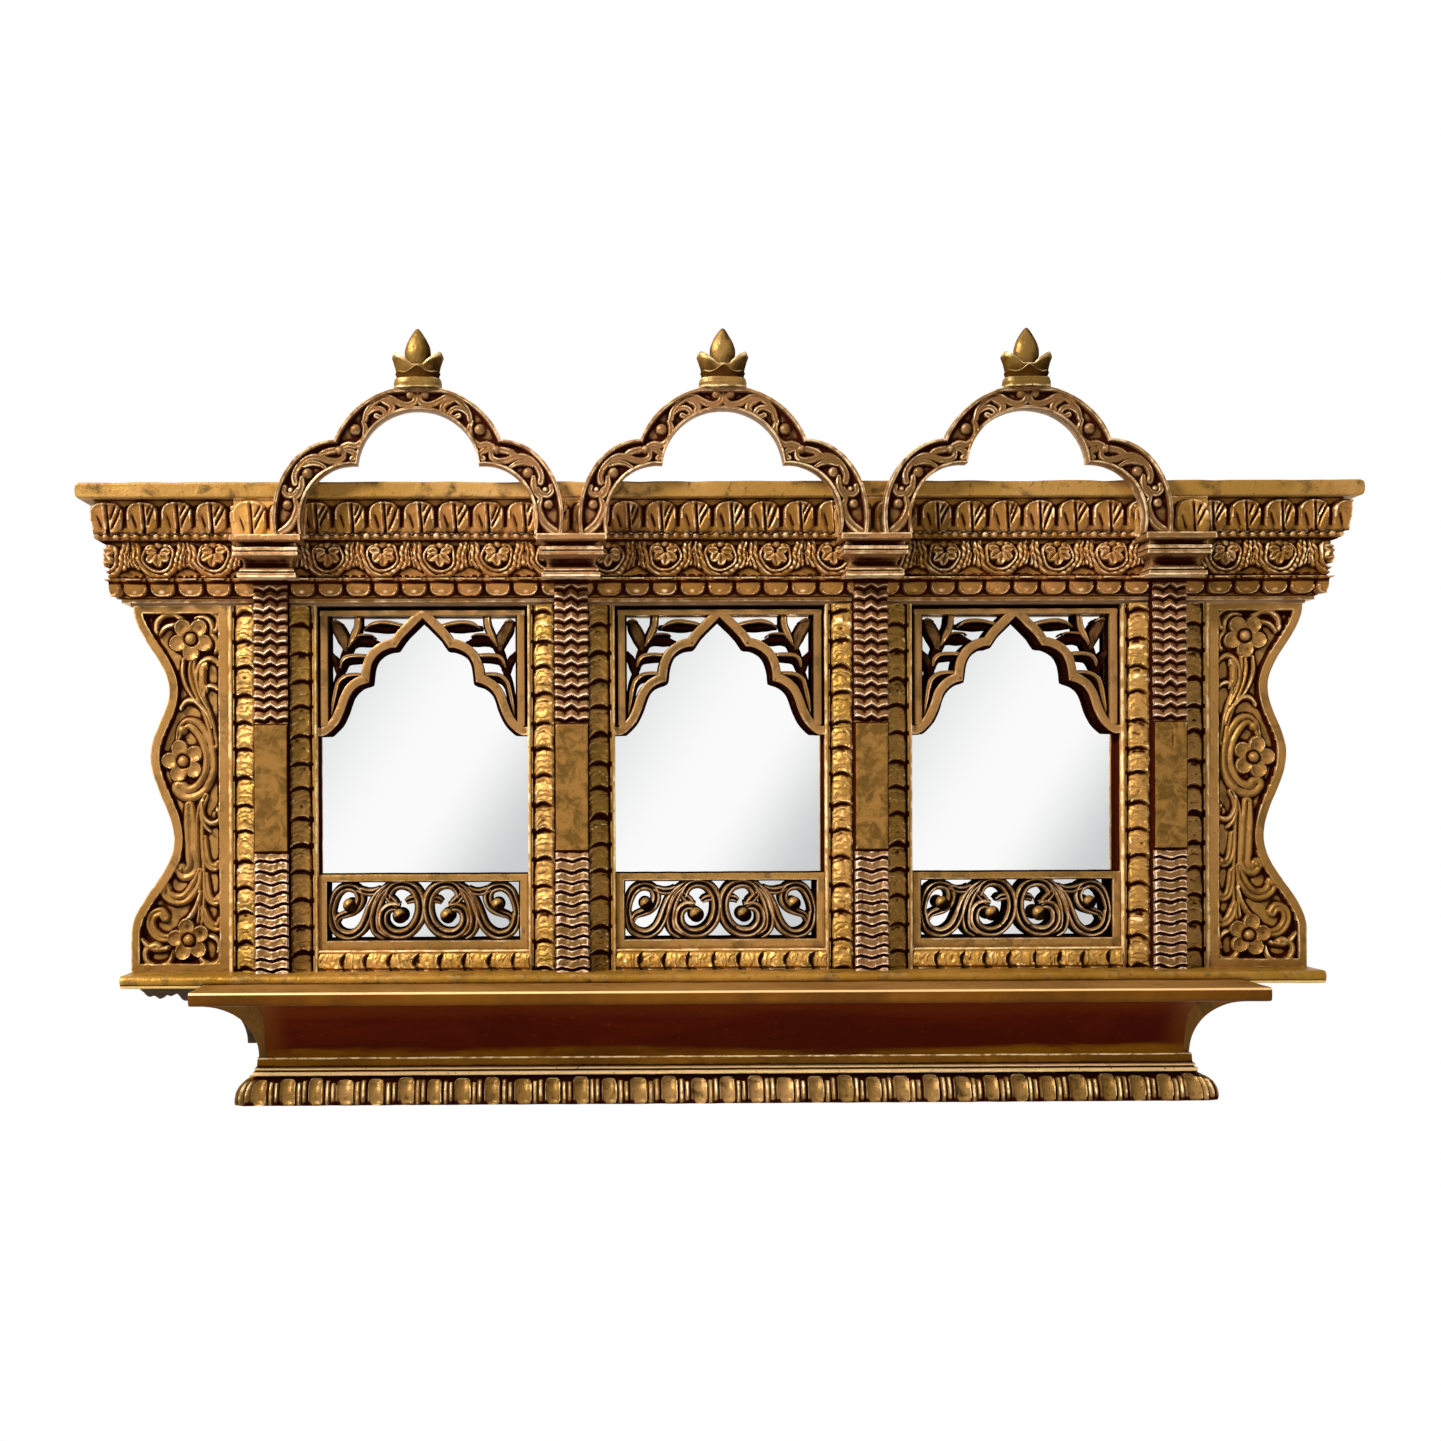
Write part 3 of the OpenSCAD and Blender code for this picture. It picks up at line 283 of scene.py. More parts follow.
def wrapped(half, out, z, spacing, relief=None, lean=None, back=None, seed=1, worn=0.2, tone=None):
    """A moulding that runs along the front and returns at both ends towards the wall.
    half, out and z give the section from its foot up."""
    half, out, z = (np.asarray(v, float) for v in np.broadcast_arrays(half, out, z))
    widest, deepest = half.max(), out.max()
    side = steps(widest, widest + deepest, spacing)
    u = np.concatenate([-side[::-1], steps(-widest, widest, spacing)[1:-1], side])
    reach = np.abs(u)
    front = reach <= widest
    places = u[:, None], np.arange(len(z))[None, :]
    raised = relief(*places) if relief else 0
    lean_out, lean_z = lean if lean is not None else (1, 0)
    h = half[None, :] + raised * lean_out
    o = out[None, :] + raised * lean_out
    zz = np.broadcast_to(z[None, :] + raised * lean_z, (len(u), len(z)))
    plain = half.min() - 14
    along = reach[:, None]
    x_front = np.where(along < plain, along, plain + (along - plain) * (h - plain) / (widest - plain))
    depth = (deepest - (reach - widest))[:, None]
    shallow = max(1.0, out.min() - 12)
    o_side = shallow + (depth - shallow) * (o - shallow) / (deepest - shallow)
    o_side = np.where(depth < shallow, depth, o_side)
    x = np.sign(u)[:, None] * np.where(front[:, None], x_front, h)
    o = np.where(front[:, None], o, o_side)
    table = np.stack([x, o, zz], -1)
    table = hand_cut(table, worn, 16, seed)
    toned = np.broadcast_to(tone(*places) if tone else 0.0, table.shape[:2])
    if back is not None:
        back_half, back_out = back
        bx = np.where(front, u / widest * back_half, np.sign(u) * back_half)
        bo = np.where(front, back_out, depth[:, 0] / deepest * back_out)
        rows = [column(bx, bo, level) for level in (z[-1], (z[0] + z[-1]) / 2, z[0])]
        table = np.concatenate([table] + rows, axis=1)
        toned = np.concatenate([toned, np.ones((len(u), 3))], axis=1)
    return skin(table, toned)


# Carved ornament, as heights over a ground

def across(x, z, line, width, taper=(1, 1)):
    """How far across a strand along a line each point lies: -1 outside its bend, 1 inside it."""
    found = np.full(x.shape, 9.0)
    path = flowing(line)
    count = len(path) - 1
    d = np.diff(path, axis=0)
    turn = 1 if np.sum(d[:-1, 0] * d[1:, 1] - d[:-1, 1] * d[1:, 0]) > 0 else -1
    for k in range(count):
        p, q = path[k], path[k + 1]
        t = k / count
        share = 1 - (1 - taper[1]) * max(0, t * 2 - 1)
        if t < 0.25:
            share = taper[0] + (1 - taper[0]) * t * 4
        wide = width / 2 * max(0.05, share)
        low, high = np.minimum(p, q) - wide, np.maximum(p, q) + wide
        near = (x >= low[0]) & (x <= high[0]) & (z >= low[1]) & (z <= high[1])
        if not near.any():
            continue
        dx, dz = x[near] - p[0], z[near] - p[1]
        s = np.clip((dx * d[k, 0] + dz * d[k, 1]) / max(1e-9, d[k] @ d[k]), 0, 1)
        gap = np.hypot(dx - s * d[k, 0], dz - s * d[k, 1]) / wide
        gap = gap * np.where(turn * (d[k, 0] * dz - d[k, 1] * dx) > 0, 1, -1)
        found[near] = np.where(np.abs(gap) < np.abs(found[near]), gap, found[near])
    return found


def roll(x, z, line, width, taper=(1, 1), hollow=0.0):
    """Height of a rounded strip along a line, from 0 at its edges to 1 along its middle."""
    gap = across(x, z, line, width, taper)
    return arc(gap, 1) * (1 - hollow * hump(gap, 0, 0.42))


def ball(x, z, centre, r):
    """Height of a half ball."""
    gap = np.hypot(x - centre[0], z - centre[1]) / r
    return arc(gap, 1)


PETALS = 5


def blossom(x, z, centre, r, turn):
    """Height of a flower: broad dished petals that touch, round a button."""
    found = np.zeros(x.shape)
    dx, dz = (x - centre[0]) / r, (z - centre[1]) / r
    for k in range(PETALS):
        a = math.radians(turn + 360 * k / PETALS)
        along = dx * math.cos(a) + dz * math.sin(a)
        aside = -dx * math.sin(a) + dz * math.cos(a)
        q = np.hypot((along - 0.60) / 0.42, aside / 0.39)
        found = np.maximum(found, ease((1 - q) / 0.12) * (0.30 + 0.70 * np.clip(q, 0, 1) ** 2.4))
    gap = np.hypot(dx, dz)
    found = found * (1 - 0.7 * hump(gap, 0.31, 0.07)) * (gap > 0.25)
    return np.maximum(found, 1.15 * arc(gap, 0.27))


def lobes(u, v, pitch, seed, bright):
    """Crowded lobes that overlap like crumpled shingles, with a painted shadow crescent under each lip,
    painted shade along the outer edge and in its notches, and a painted highlight on each lobe, weaker when
    bright is false, on a border turned from the light.
    v runs from the flat side (0) to the outer edge (1). Gives heights from 0 to 1, and the tone."""
    grain = np.stack([u, u * 0 + 60 * seed, v * 9], -1)
    crumple = 0.7 * waver(grain, 4.6, 301) + 0.3 * waver(grain * (1, 1, 1.6), 2.4, 302)
    arch = 0.20 * (1 - (2 * np.clip(v, 0, 1) - 1) ** 2)
    place = u / pitch + 0.04 * np.sin(u * 0.083 + seed) - arch + 0.05 * waver(grain, 6.0, 303)
    cell = np.floor(place)
    a = place - cell
    random = np.sin(cell * 12.9898 + seed * 4.1) * 43.758
    random = random - np.floor(random)
    deep = 0.90 + 0.02 * random
    rise = np.clip(a / deep, 0, 1)
    folds = 0.26 * crumple + 0.08 * np.cos(a * 26 + 7 * crumple)
    body = 1 - 0.85 * rise ** 1.6 + folds * ease((deep - a) / 0.2)
    lip = ease((1 - a) / (1 - deep))
    round_end = ease((1.0 - v) / 0.16) * (0.55 + 0.45 * ease((v + 0.02) / 0.16))
    height = np.where(a > deep, 0.05 + 0.95 * (1 - lip), body) * round_end
    thick = (0.11 + 0.07 * random) * (0.45 + 0.55 * (1 - (2 * np.clip(v, 0, 1) - 1) ** 2)) + 0.05 * crumple
    crescent_shadow = ease((a - deep + thick) / 0.05) * ease((0.995 - a) / 0.03)
    corner = ease((v - 0.80 + 0.06 * crumple) / 0.06) * (ease((a - 0.62) / 0.1) + ease((0.12 - a) / 0.06))
    centre = 0.56 + 0.12 * (random - 0.5)
    glow = hump(a, centre, 0.22) * (0.55 + 0.9 * crumple) + 0.30 * hump(a, 0.05, 0.06)
    lit = np.clip(glow, 0, 1) * (1.0 if bright else 0.42)
    edge = 0.3 * ease((v - 0.96) / 0.03)
    dark = np.maximum(np.maximum(crescent_shadow * (0.73 if bright else 0.84), 0.85 * np.clip(corner, 0, 1)), edge)
    base = 0.34 + 0.25 * crumple if bright else 0.30
    return height, np.maximum(dark, base * (1 - lit)) - lit * (1 - np.clip(1.2 * dark, 0, 1))


def paint_shading(bm, tone):
    """Gives a whole shape one tone: painted shade (to 1) or painted highlight (to -1)."""
    layer = bm.verts.layers.float.get("tone") or bm.verts.layers.float.new("tone")
    for v in bm.verts:
        v[layer] = tone
    return bm


def moved(bm, x, out):
    """Moves a whole shape."""
    for v in bm.verts:
        v.co.x += x * MM
        v.co.y -= out * MM
    return bm


# Colours and finishes

def tint(r, g, b):
    """A colour written as it should look, 0 to 255, for a shader."""
    return tuple((c / 255 / 12.92 if c <= 10 else ((c / 255 + 0.055) / 1.055) ** 2.4)
                 for c in (r, g, b)) + (1.0,)


def feed(tree, socket, source):
    """Links a socket to another, or sets its value."""
    if hasattr(source, "links"):
        tree.links.new(source, socket)
    else:
        socket.default_value = source


def add_node(tree, kind, links=(), **values):
    """A new node with its values set and its sockets fed."""
    node = tree.nodes.new(kind)
    for key, value in values.items():
        setattr(node, key, value)
    for socket, source in links:
        feed(tree, node.inputs[socket], source)
    return node


class Finish:
    """A material under construction."""

    def __init__(self, name):
        self.material = bpy.data.materials.new(name)
        self.material.use_nodes = True
        self.tree = self.material.node_tree
        self.shader = self.tree.nodes["Principled BSDF"]
        self.place = self.add("ShaderNodeTexCoord").outputs["Object"]
        split = self.add("ShaderNodeSeparateXYZ", [("Vector", self.place)])
        self.x, self.y, self.z = split.outputs

    def add(self, kind, links=(), **values):
        return add_node(self.tree, kind, links, **values)

    def noise(self, scale, detail=4.0, rough=0.55, stretch=(1, 1, 1), warp=0.0):
        """Cloudy values around 0.5. A larger scale makes them finer."""
        turned = self.add("ShaderNodeMapping", [("Vector", self.place), ("Scale", stretch)])
        made = self.add("ShaderNodeTexNoise", [
            ("Vector", turned.outputs["Vector"]), ("Scale", scale), ("Detail", detail),
            ("Roughness", rough), ("Distortion", warp)])
        return made.outputs["Fac"]

    def band(self, low, low_full, high_full, high):
        """1 between two heights in millimetres, falling to 0 outside them."""
        return self.sum(self.between(self.z, low * MM, low_full * MM),
                        self.between(self.z, high * MM, high_full * MM), "MULTIPLY")

    def stored(self, name):
        """A value stored on the points of a piece when it is made."""
        return self.add("ShaderNodeAttribute", attribute_name=name).outputs["Fac"]

    def between(self, value, low, high, to_low=0.0, to_high=1.0):
        """A soft step from to_low to to_high as the value goes from low to high."""
        made = self.add("ShaderNodeMapRange", [
            ("Value", value), ("From Min", low), ("From Max", high),
            ("To Min", to_low), ("To Max", to_high)], interpolation_type="SMOOTHSTEP")
        return made.outputs["Result"]

    def sum(self, a, b, kind="ADD"):
        return self.add("ShaderNodeMath", [(0, a), (1, b)], operation=kind).outputs["Value"]

    def blend(self, share, a, b):
        """Colour a where the share is 0, b where it is 1."""
        return self.add("ShaderNodeMix", [("Factor", share), (6, a), (7, b)], data_type="RGBA").outputs[2]

    def set(self, **values):
        for key, value in values.items():
            feed(self.tree, self.shader.inputs[key.replace("_", " ")], value)

    def bump(self, height, strength, distance):
        made = self.add("ShaderNodeBump", [
            ("Height", height), ("Strength", strength), ("Distance", distance)])
        self.tree.links.new(made.outputs["Normal"], self.shader.inputs["Normal"])


def gilding(name, warm, olive, pale, ground=(46, 12, 4), wear_and_highlight=0.6, patina_and_shade=1.0, shine=0.3, mottle=1.0,
            depth=(0.54, 0.84), glint=0.4, over=None, bare=0.6):
    """Gold leaf and bronze powder on a red ground, pale where the gilt is rubbed and where highlights are
    painted, with a painted near-white glint on the brightest parts, and dark towards the ground in the
    hollows, as patina and painted shade.
    Within bare mm of the wall the wood was left as it is."""
    f = Finish(name)
    broad = f.noise(6.5, 4, 0.6)
    patch = f.noise(44, 5, 0.62, warp=0.6)
    crumb = f.noise(105, 3, 0.6, warp=0.5)
    speck = f.noise(240, 4, 0.65)
    grain = f.noise(90, 3, 0.5, stretch=(0.25, 1, 1))
    rubbed_and_highlit, hollow = f.stored("rubbed_and_highlit"), f.stored("hollow")
    colour = f.blend(f.between(broad, 0.36, 0.64), tint(*warm), tint(*olive))
    tarnish = f.between(patch, 0.50, 0.68, 0, 0.62 * mottle)
    colour = f.blend(tarnish, colour, tint(*(c * 0.6 for c in olive)))
    if over:
        colour = over(f, colour)
    kept = f.sum(f.sum(rubbed_and_highlit, -0.5), f.between(crumb, 0.36, 0.64, 0.55, 1.1), "MULTIPLY")
    bright = f.sum(f.sum(kept, 0.5), f.between(patch, 0.3, 0.7, -0.12, 0.08))
    # Pale gold where the gilt is rubbed and where tone paints highlights.
    colour = f.blend(f.between(bright, 0.58, 0.92, 0, wear_and_highlight), colour, tint(*pale))
    # Painted highlight: a near-white glint on the brightest parts.
    colour = f.blend(f.between(bright, 0.80, 1.0, 0, glint), colour, tint(255, 232, 178))
    # The ground's dark red in the hollows: patina, and painted shade.
    sunk = f.sum(hollow, f.between(patch, 0.3, 0.7, -0.06, 0.06))
    deep = f.between(sunk, depth[0], depth[1], 0, patina_and_shade)
    colour = f.blend(deep, colour, tint(*ground))
    spots = f.between(speck, 0.60, 0.72, 0, 0.6 * mottle)
    colour = f.blend(spots, colour, tint(*(c * 0.40 for c in warm)))
    behind = f.between(f.y, -(bare + 0.6) * MM, -bare * MM)
    fibre = f.noise(60, 4, 0.6, stretch=(1, 1, 0.12))
    wood = f.blend(f.between(fibre, 0.35, 0.65), tint(128, 96, 62), tint(98, 68, 42))
    colour = f.blend(behind, colour, wood)
    deep = f.sum(deep, behind, "MAXIMUM")
    f.set(Base_Color=colour, Metallic=f.between(deep, 0, 0.7, shine, 0.0),
          Roughness=f.between(f.sum(patch, deep), 0.3, 1.2, 0.34, 0.8),
          Specular_IOR_Level=f.between(deep, 0.1, 0.7, 0.20, 0.0), Specular_Tint=(1.0, 0.68, 0.30, 1.0))
    f.bump(f.sum(f.sum(speck, 0.5, "MULTIPLY"), f.sum(grain, f.sum(patch, crumb))), 0.6, 0.0010)
    return f.material


def bare_wood(name, light, dark, stretch=(1, 12, 12)):
    """Old unpainted wood, its grain along the axis that is stretched least."""
    f = Finish(name)
    grain = f.noise(9, 6, 0.6, stretch=stretch, warp=0.8)
    fine = f.noise(70, 4, 0.7, stretch=stretch)
    stain = f.noise(5, 4, 0.6)
    colour = f.blend(f.between(grain, 0.35, 0.68), tint(*light), tint(*dark))
    colour = f.blend(f.between(fine, 0.5, 0.75, 0, 0.45), colour, tint(*(c * 0.6 for c in dark)))
    colour = f.blend(f.between(stain, 0.5, 0.75, 0, 0.4), colour, tint(*(c * 0.7 for c in light)))
    f.set(Base_Color=colour, Roughness=f.between(grain, 0.3, 0.7, 0.62, 0.82), Metallic=0.0)
    f.bump(f.sum(grain, fine), 0.4, 0.0006)
    return f.material


def silvered_glass(name, centre):
    """Mirror glass with a painted reflection: pale along a diagonal band, greyer towards two of its corners;
    with faint haze.
    """
    f = Finish(name)
    place = f.add("ShaderNodeMapping", [("Vector", f.place), ("Location", tuple(-c for c in centre))])
    split = f.add("ShaderNodeSeparateXYZ", [("Vector", place.outputs["Vector"])])
    slant = f.sum(f.sum(split.outputs["X"], 1.15, "MULTIPLY"), f.sum(split.outputs["Z"], 0.75, "MULTIPLY"),
                  "SUBTRACT")
    high = f.between(slant, -0.02, -0.20)
    low = f.between(slant, 0.03, 0.17)
    haze = f.noise(14, 3, 0.5)
    # Painted reflection: a diagonal gradient of grey over the silver.
    colour = f.blend(high, tint(250, 250, 250), tint(222, 223, 224))
    colour = f.blend(low, colour, tint(204, 205, 206))
    f.set(Base_Color=colour, Metallic=1.0, Roughness=f.between(haze, 0.35, 0.7, 0.015, 0.04))
    return f.material


def zinc_plate(name):
    """Dull spangled zinc on the hangers and pins."""
    f = Finish(name)
    spangle = f.noise(160, 3, 0.6)
    dull = f.noise(30, 4, 0.6)
    colour = f.blend(f.between(dull, 0.4, 0.7), tint(176, 178, 176), tint(132, 132, 128))
    colour = f.blend(f.between(spangle, 0.55, 0.7, 0, 0.4), colour, tint(206, 206, 200))
    f.set(Base_Color=colour, Metallic=0.9, Roughness=f.between(dull, 0.3, 0.7, 0.28, 0.5))
    f.bump(spangle, 0.15, 0.0002)
    return f.material


# Warm, olive and pale gold of each carved part; the pale is rubbed gilt and painted highlight
carved_gold = gilding("carved_gold", (152, 103, 54), (122, 82, 30), (236, 190, 142), glint=0.5)
border_gold = gilding("border_gold", (158, 114, 58), (134, 98, 36), (238, 198, 136), glint=0.6)
bottom_gold = gilding("bottom_gold", (176, 130, 64), (148, 106, 42), (238, 202, 140), patina_and_shade=0.9, glint=0.5)
vine_gold = gilding("vine_gold", (136, 94, 58), (108, 76, 40), (220, 178, 134), ground=(46, 13, 7),
                    depth=(0.58, 0.90), glint=0.5)
# The pierced panels get near-black grounds, as painted shade between and behind their strands
pierced_gold = gilding("pierced_gold", (150, 108, 62), (118, 86, 44), (224, 184, 134), ground=(24, 5, 2),
                       wear_and_highlight=0.85)
scroll_gold = gilding("scroll_gold", (150, 110, 58), (120, 88, 40), (216, 180, 144), ground=(16, 4, 2),
                      wear_and_highlight=0.9, shine=0.35, glint=0.5)
board_gold = gilding("board_gold", (184, 138, 78), (154, 112, 50), (222, 182, 124), patina_and_shade=0.7, mottle=1.6)
capital_gold = gilding("capital_gold", (160, 112, 72), (128, 90, 48), (250, 212, 166), ground=(46, 13, 7),
                       depth=(0.62, 0.92), glint=0.6)
lit_gold = gilding("lit_gold", (206, 150, 88), (168, 122, 52), (255, 214, 170), glint=0.6)
bracket_gold = gilding("bracket_gold", (158, 114, 62), (132, 94, 42), (228, 186, 130), depth=(0.66, 0.93),
                       bare=12.4)
finial_gold = gilding("finial_gold", (142, 106, 56), (108, 80, 32), (236, 206, 152), ground=(60, 34, 8),
                      shine=0.4, glint=0.6)
wing_gold = gilding("wing_gold", (126, 84, 42), (104, 68, 26), (206, 160, 108), ground=(62, 26, 8),
                    patina_and_shade=0.6)
deal = bare_wood("deal", (150, 112, 70), (108, 74, 42))
ply = bare_wood("ply", (176, 142, 98), (142, 106, 66), stretch=(14, 14, 1))
dark_board = bare_wood("dark_board", (96, 72, 34), (60, 40, 16))
zinc = zinc_plate("zinc")


def shelf_finish(top):
    """Olive bronze powder on the shelf's front, a pinker brown on top, chips along the arris, and a painted
    highlight along the top front arris.
    """
    f = Finish("shelf_gold")
    cloud, patch = f.noise(9, 5, 0.6), f.noise(34, 5, 0.65, warp=0.6)
    speck = f.noise(210, 4, 0.65)
    chips = f.noise(24, 5, 0.7, stretch=(0.8, 1, 2.2), warp=1.2)
    up = f.between(f.z, (top - 1.0) * MM, (top - 0.2) * MM)
    rim = f.between(f.z, (top - 6) * MM, (top - 2) * MM)
    front = f.blend(f.between(cloud, 0.38, 0.62), tint(102, 58, 3), tint(80, 42, 2))
    level = f.blend(f.between(cloud, 0.38, 0.62), tint(138, 97, 48), tint(114, 78, 32))
    colour = f.blend(up, front, level)
    colour = f.blend(f.between(patch, 0.52, 0.72, 0, 0.5), colour, tint(92, 54, 10))
    # Painted highlight along the top front arris.
    colour = f.blend(f.band(top - 2.8, top - 2.0, top - 1.0, top - 0.3), colour, tint(232, 188, 128))
    colour = f.blend(f.sum(rim, f.between(chips, 0.66, 0.71), "MULTIPLY"), colour, tint(52, 18, 4))
    colour = f.blend(f.between(speck, 0.63, 0.75, 0, 0.45), colour, tint(70, 34, 6))
    f.set(Base_Color=colour, Metallic=0.25, Roughness=f.between(patch, 0.3, 0.7, 0.38, 0.6),
          Specular_IOR_Level=0.2, Specular_Tint=(1.0, 0.72, 0.36, 1.0))
    f.bump(f.sum(f.sum(speck, 0.5, "MULTIPLY"), f.sum(patch, chips)), 0.45, 0.0009)
    return f.material


def hollow_finish(x_half, z0, z1):
    """The hollow under the shelf: dark red above, which also stands for painted shade under the shelf; olive
    gold along its foot; lighter towards its ends as painted light.
    """
    f = Finish("hollow_gold")
    cloud = f.noise(10, 5, 0.65, stretch=(0.6, 1, 1.6), warp=0.4)
    speck = f.noise(190, 4, 0.65)
    streak = f.noise(26, 4, 0.6, stretch=(0.18, 1, 1.4))
    rise = f.between(f.z, z0 * MM, z1 * MM)
    edge = f.sum(rise, f.between(streak, 0.3, 0.7, -0.06, 0.06))
    red = f.between(edge, -0.02, 0.09)
    upper = f.between(edge, 0.72, 1.0, 0, 0.45)
    gold = f.blend(f.between(cloud, 0.42, 0.6), tint(126, 78, 8), tint(92, 50, 6))
    dark = f.blend(f.between(cloud, 0.4, 0.7), tint(64, 9, 2), tint(80, 20, 3))
    colour = f.blend(red, gold, dark)
    colour = f.blend(upper, colour, tint(96, 42, 8))
    side = f.add("ShaderNodeMath", [(0, f.x)], operation="ABSOLUTE").outputs["Value"]
    # Painted light: lighter towards both ends, as if less shaded by the shelf there.
    colour = f.blend(f.between(side, (x_half - 26) * MM, x_half * MM, 0, 0.5), colour, tint(106, 58, 16))
    colour = f.blend(f.between(speck, 0.62, 0.76, 0, 0.4), colour, tint(120, 62, 16))
    f.set(Base_Color=colour, Metallic=0.0, Roughness=f.between(cloud, 0.3, 0.7, 0.42, 0.6),
          Specular_IOR_Level=0.06, Specular_Tint=(1.0, 0.45, 0.15, 1.0))
    f.bump(f.sum(speck, streak), 0.3, 0.0006)
    return f.material


# Cornice

def make_top_board():
    """The plain board on top, its ends rounded like a bullnose and its front arris dented."""
    x0, x1, out0, out1, z0, z1 = limits("top_board")
    nose = (z1 - z0) / 2
    r = 1.6
    ring = [(t, -1) for t in steps(out0, out1 - r, 5)]
    ring += [(out1 - 0.4 * r, -1 + 0.06), (out1, -1 + 2 * r / (z1 - z0))]
    ring += [(out1, v) for v in np.linspace(-0.7, 0.7, 7)]
    ring += [(out1, 1 - 2 * r / (z1 - z0)), (out1 - 0.4 * r, 1 - 0.06)]
    ring += [(t, 1) for t in steps(out1 - r, out0, 5)]
    ring = np.array(ring)
    rounding = nose * (1 - np.cos(np.linspace(0, math.pi / 2, 7)))
    x = np.concatenate([x0 + rounding[:-1], steps(x0 + nose, x1 - nose, 4), x1 - rounding[-2::-1]])
    inset = np.minimum(np.minimum(x - x0, x1 - x), nose)
    height = nose * np.maximum(0, 1 - (1 - inset / nose) ** 4) ** 0.25
    table = np.empty((len(x), len(ring), 3))
    table[..., 0] = x[:, None]
    table[..., 1] = ring[None, :, 0]
    table[..., 2] = (z0 + z1) / 2 + ring[None, :, 1] * height[:, None]
    dents = waver(np.stack([x, x * 0, x * 0], -1), 26, 5)
    upper = (ring[:, 1] > 0.5)[None, :] & (ring[:, 0] > out1 - 12)[None, :]
    table[..., 2] -= upper * np.clip(dents, 0, 1)[:, None] * 0.9 * (inset >= nose)[:, None]
    made = hand_cut(table, 0.25, 30, 11)
    made[[0, -1]] = table[[0, -1]]
    piece("top_board_gilded", [skin(made)], board_gold, "top_board")


def leaf_row(pitch, height):
    """Heights of a row of crowded leaves with broad round tops, folded down the middle."""
    def relief(u, b):
        place = u / pitch
        cell = np.floor(place + 0.5)
        a = place - cell
        lean = 0.03 * np.sin(cell * 2.3) + 0.07 * (0.5 - b)
        top = np.clip((b - 0.56) / (0.395 + 0.01 * np.sin(cell * 5.3)), 0, None)
        foot = np.clip((0.34 - b) / 0.42, 0, None)
        q = (np.abs(a / 0.47) ** 2.9 + top ** 2.3 + foot ** 2.4) ** (1 / 2.6)
        body = ease((1 - q) / 0.15)
        swell = 0.35 + 0.72 * arc(a, 0.5) * (0.45 + 0.55 * ease(b / 0.7))
        fold = (0.26 * hump(a + 0.045, lean, 0.035)
                - 0.9 * hump(a - 0.045, lean, 0.032) * ease((0.93 - b) / 0.14))
        crease = -0.42 * hump(a + 0.25, 0.30 * (0.45 - b), 0.055) * ease((0.70 - b) / 0.3)
        c = a * pitch * 0.90 - b * height * 0.42 + 0.7 * np.sin(b * 5 + cell * 1.7)
        slits = np.zeros(np.broadcast_shapes(a.shape, b.shape))
        for place_c, wide in ((-3.9 + 0.8 * np.sin(cell * 5), 1.25), (0.9 + 0.6 * np.sin(cell * 3.3), 1.35)):
            slits = np.maximum(slits, hump(c, place_c, wide))
        slits = -0.8 * slits * ease((a - 0.08 - lean) / 0.07) * ease((0.90 - b) / 0.16)
        rim = 0.26 * hump(q, 0.82, 0.09) * (b > 0.4)
        return body * (swell + fold + crease + slits + rim) * 4.6 - 1.9
    return relief


def make_leaf_frieze():
    """The upper frieze: crowded leaves over a dark ground."""
    _, half, _, face, z0, z1 = limits("leaf_frieze")
    ground = 3.2
    b = np.linspace(0, 1, 30)
    relief = leaf_row(32.8, z1 - z0)

    # Painted shade along the top, under the board, and along the foot.
    def tone(u, k):
        return 0.95 * ease((b[k] - 0.93) / 0.05) + 0.75 * ease((0.16 - b[k]) / 0.14) + 0 * u
    bm = wrapped(half - ground, face - ground, z0 + b * (z1 - z0), 1.05,
                 relief=lambda along, k: relief(along + 24.6, b[k]), back=CORNICE_BACK, seed=21, tone=tone)
    piece("leaf_frieze_carving", [bm], carved_gold, "leaf_frieze")


def make_leaf_blocks():
    """A leaf-carved block that stands forward over each capital."""
    set_back = 50
    for i in STILES:
        x0, x1, _, face, z0, z1 = limits(f"leaf_block_{i}")
        b = np.linspace(0, 1, 30)
        relief = leaf_row(34, z1 - z0)
        bm = wrapped((x1 - x0) / 2 - 2, face - set_back - 2, z0 + b * (z1 - z0), 1.05,
                     relief=lambda along, k: 0.8 * relief(along + 17, b[k]), back=(0.4, 0.4), seed=30 + i)
        piece(f"leaf_block_carving_{i}", [moved(bm, stiles[i - 1], set_back)], lit_gold, f"leaf_block_{i}")


def make_bead_strip():
    """A row of beads on a thin rod."""
    _, half, _, face, z0, z1 = limits("bead_strip")
    pitch = 9.5
    b = np.linspace(0, 1, 13)
    mid, r = 0.58, (z1 - z0) / 2 - 0.3

    def drawn(u, k):
        """Place within a bead's stretch: aside and up from its middle."""
        return (u / pitch - np.floor(u / pitch) - 0.5) * pitch, (b[k] - mid) * (z1 - z0)

    def relief(u, k):
        a, up = drawn(u, k)
        bead = np.sqrt(np.clip(1 - (a / 3.7) ** 2 - (up / r) ** 2, 0, 1)) * 4.4
        rod = arc(up, 1.3) * 1.4
        return np.maximum(bead, rod) - 2.8

    # A pale crown on each bead, rubbed gilt and painted highlight; painted shade under the beads.
    def tone(u, k):
        a, up = drawn(u, k)
        crown = np.exp(-(a / 2.3) ** 2 - ((up - 0.8) / 1.7) ** 2)
        rubbed_and_highlit = 0.9 * crown * (0.75 + 0.25 * np.sin(np.floor(u / pitch) * 2.7))
        return 0.95 * ease((0.24 - b[k]) / 0.12) - rubbed_and_highlit
    bm = wrapped(half - 2, face - 2, z0 + b * (z1 - z0), 1.0, relief=relief, back=CORNICE_BACK, seed=41,
                 worn=0.12, tone=tone)
    piece("bead_row", [bm], carved_gold, "bead_strip")


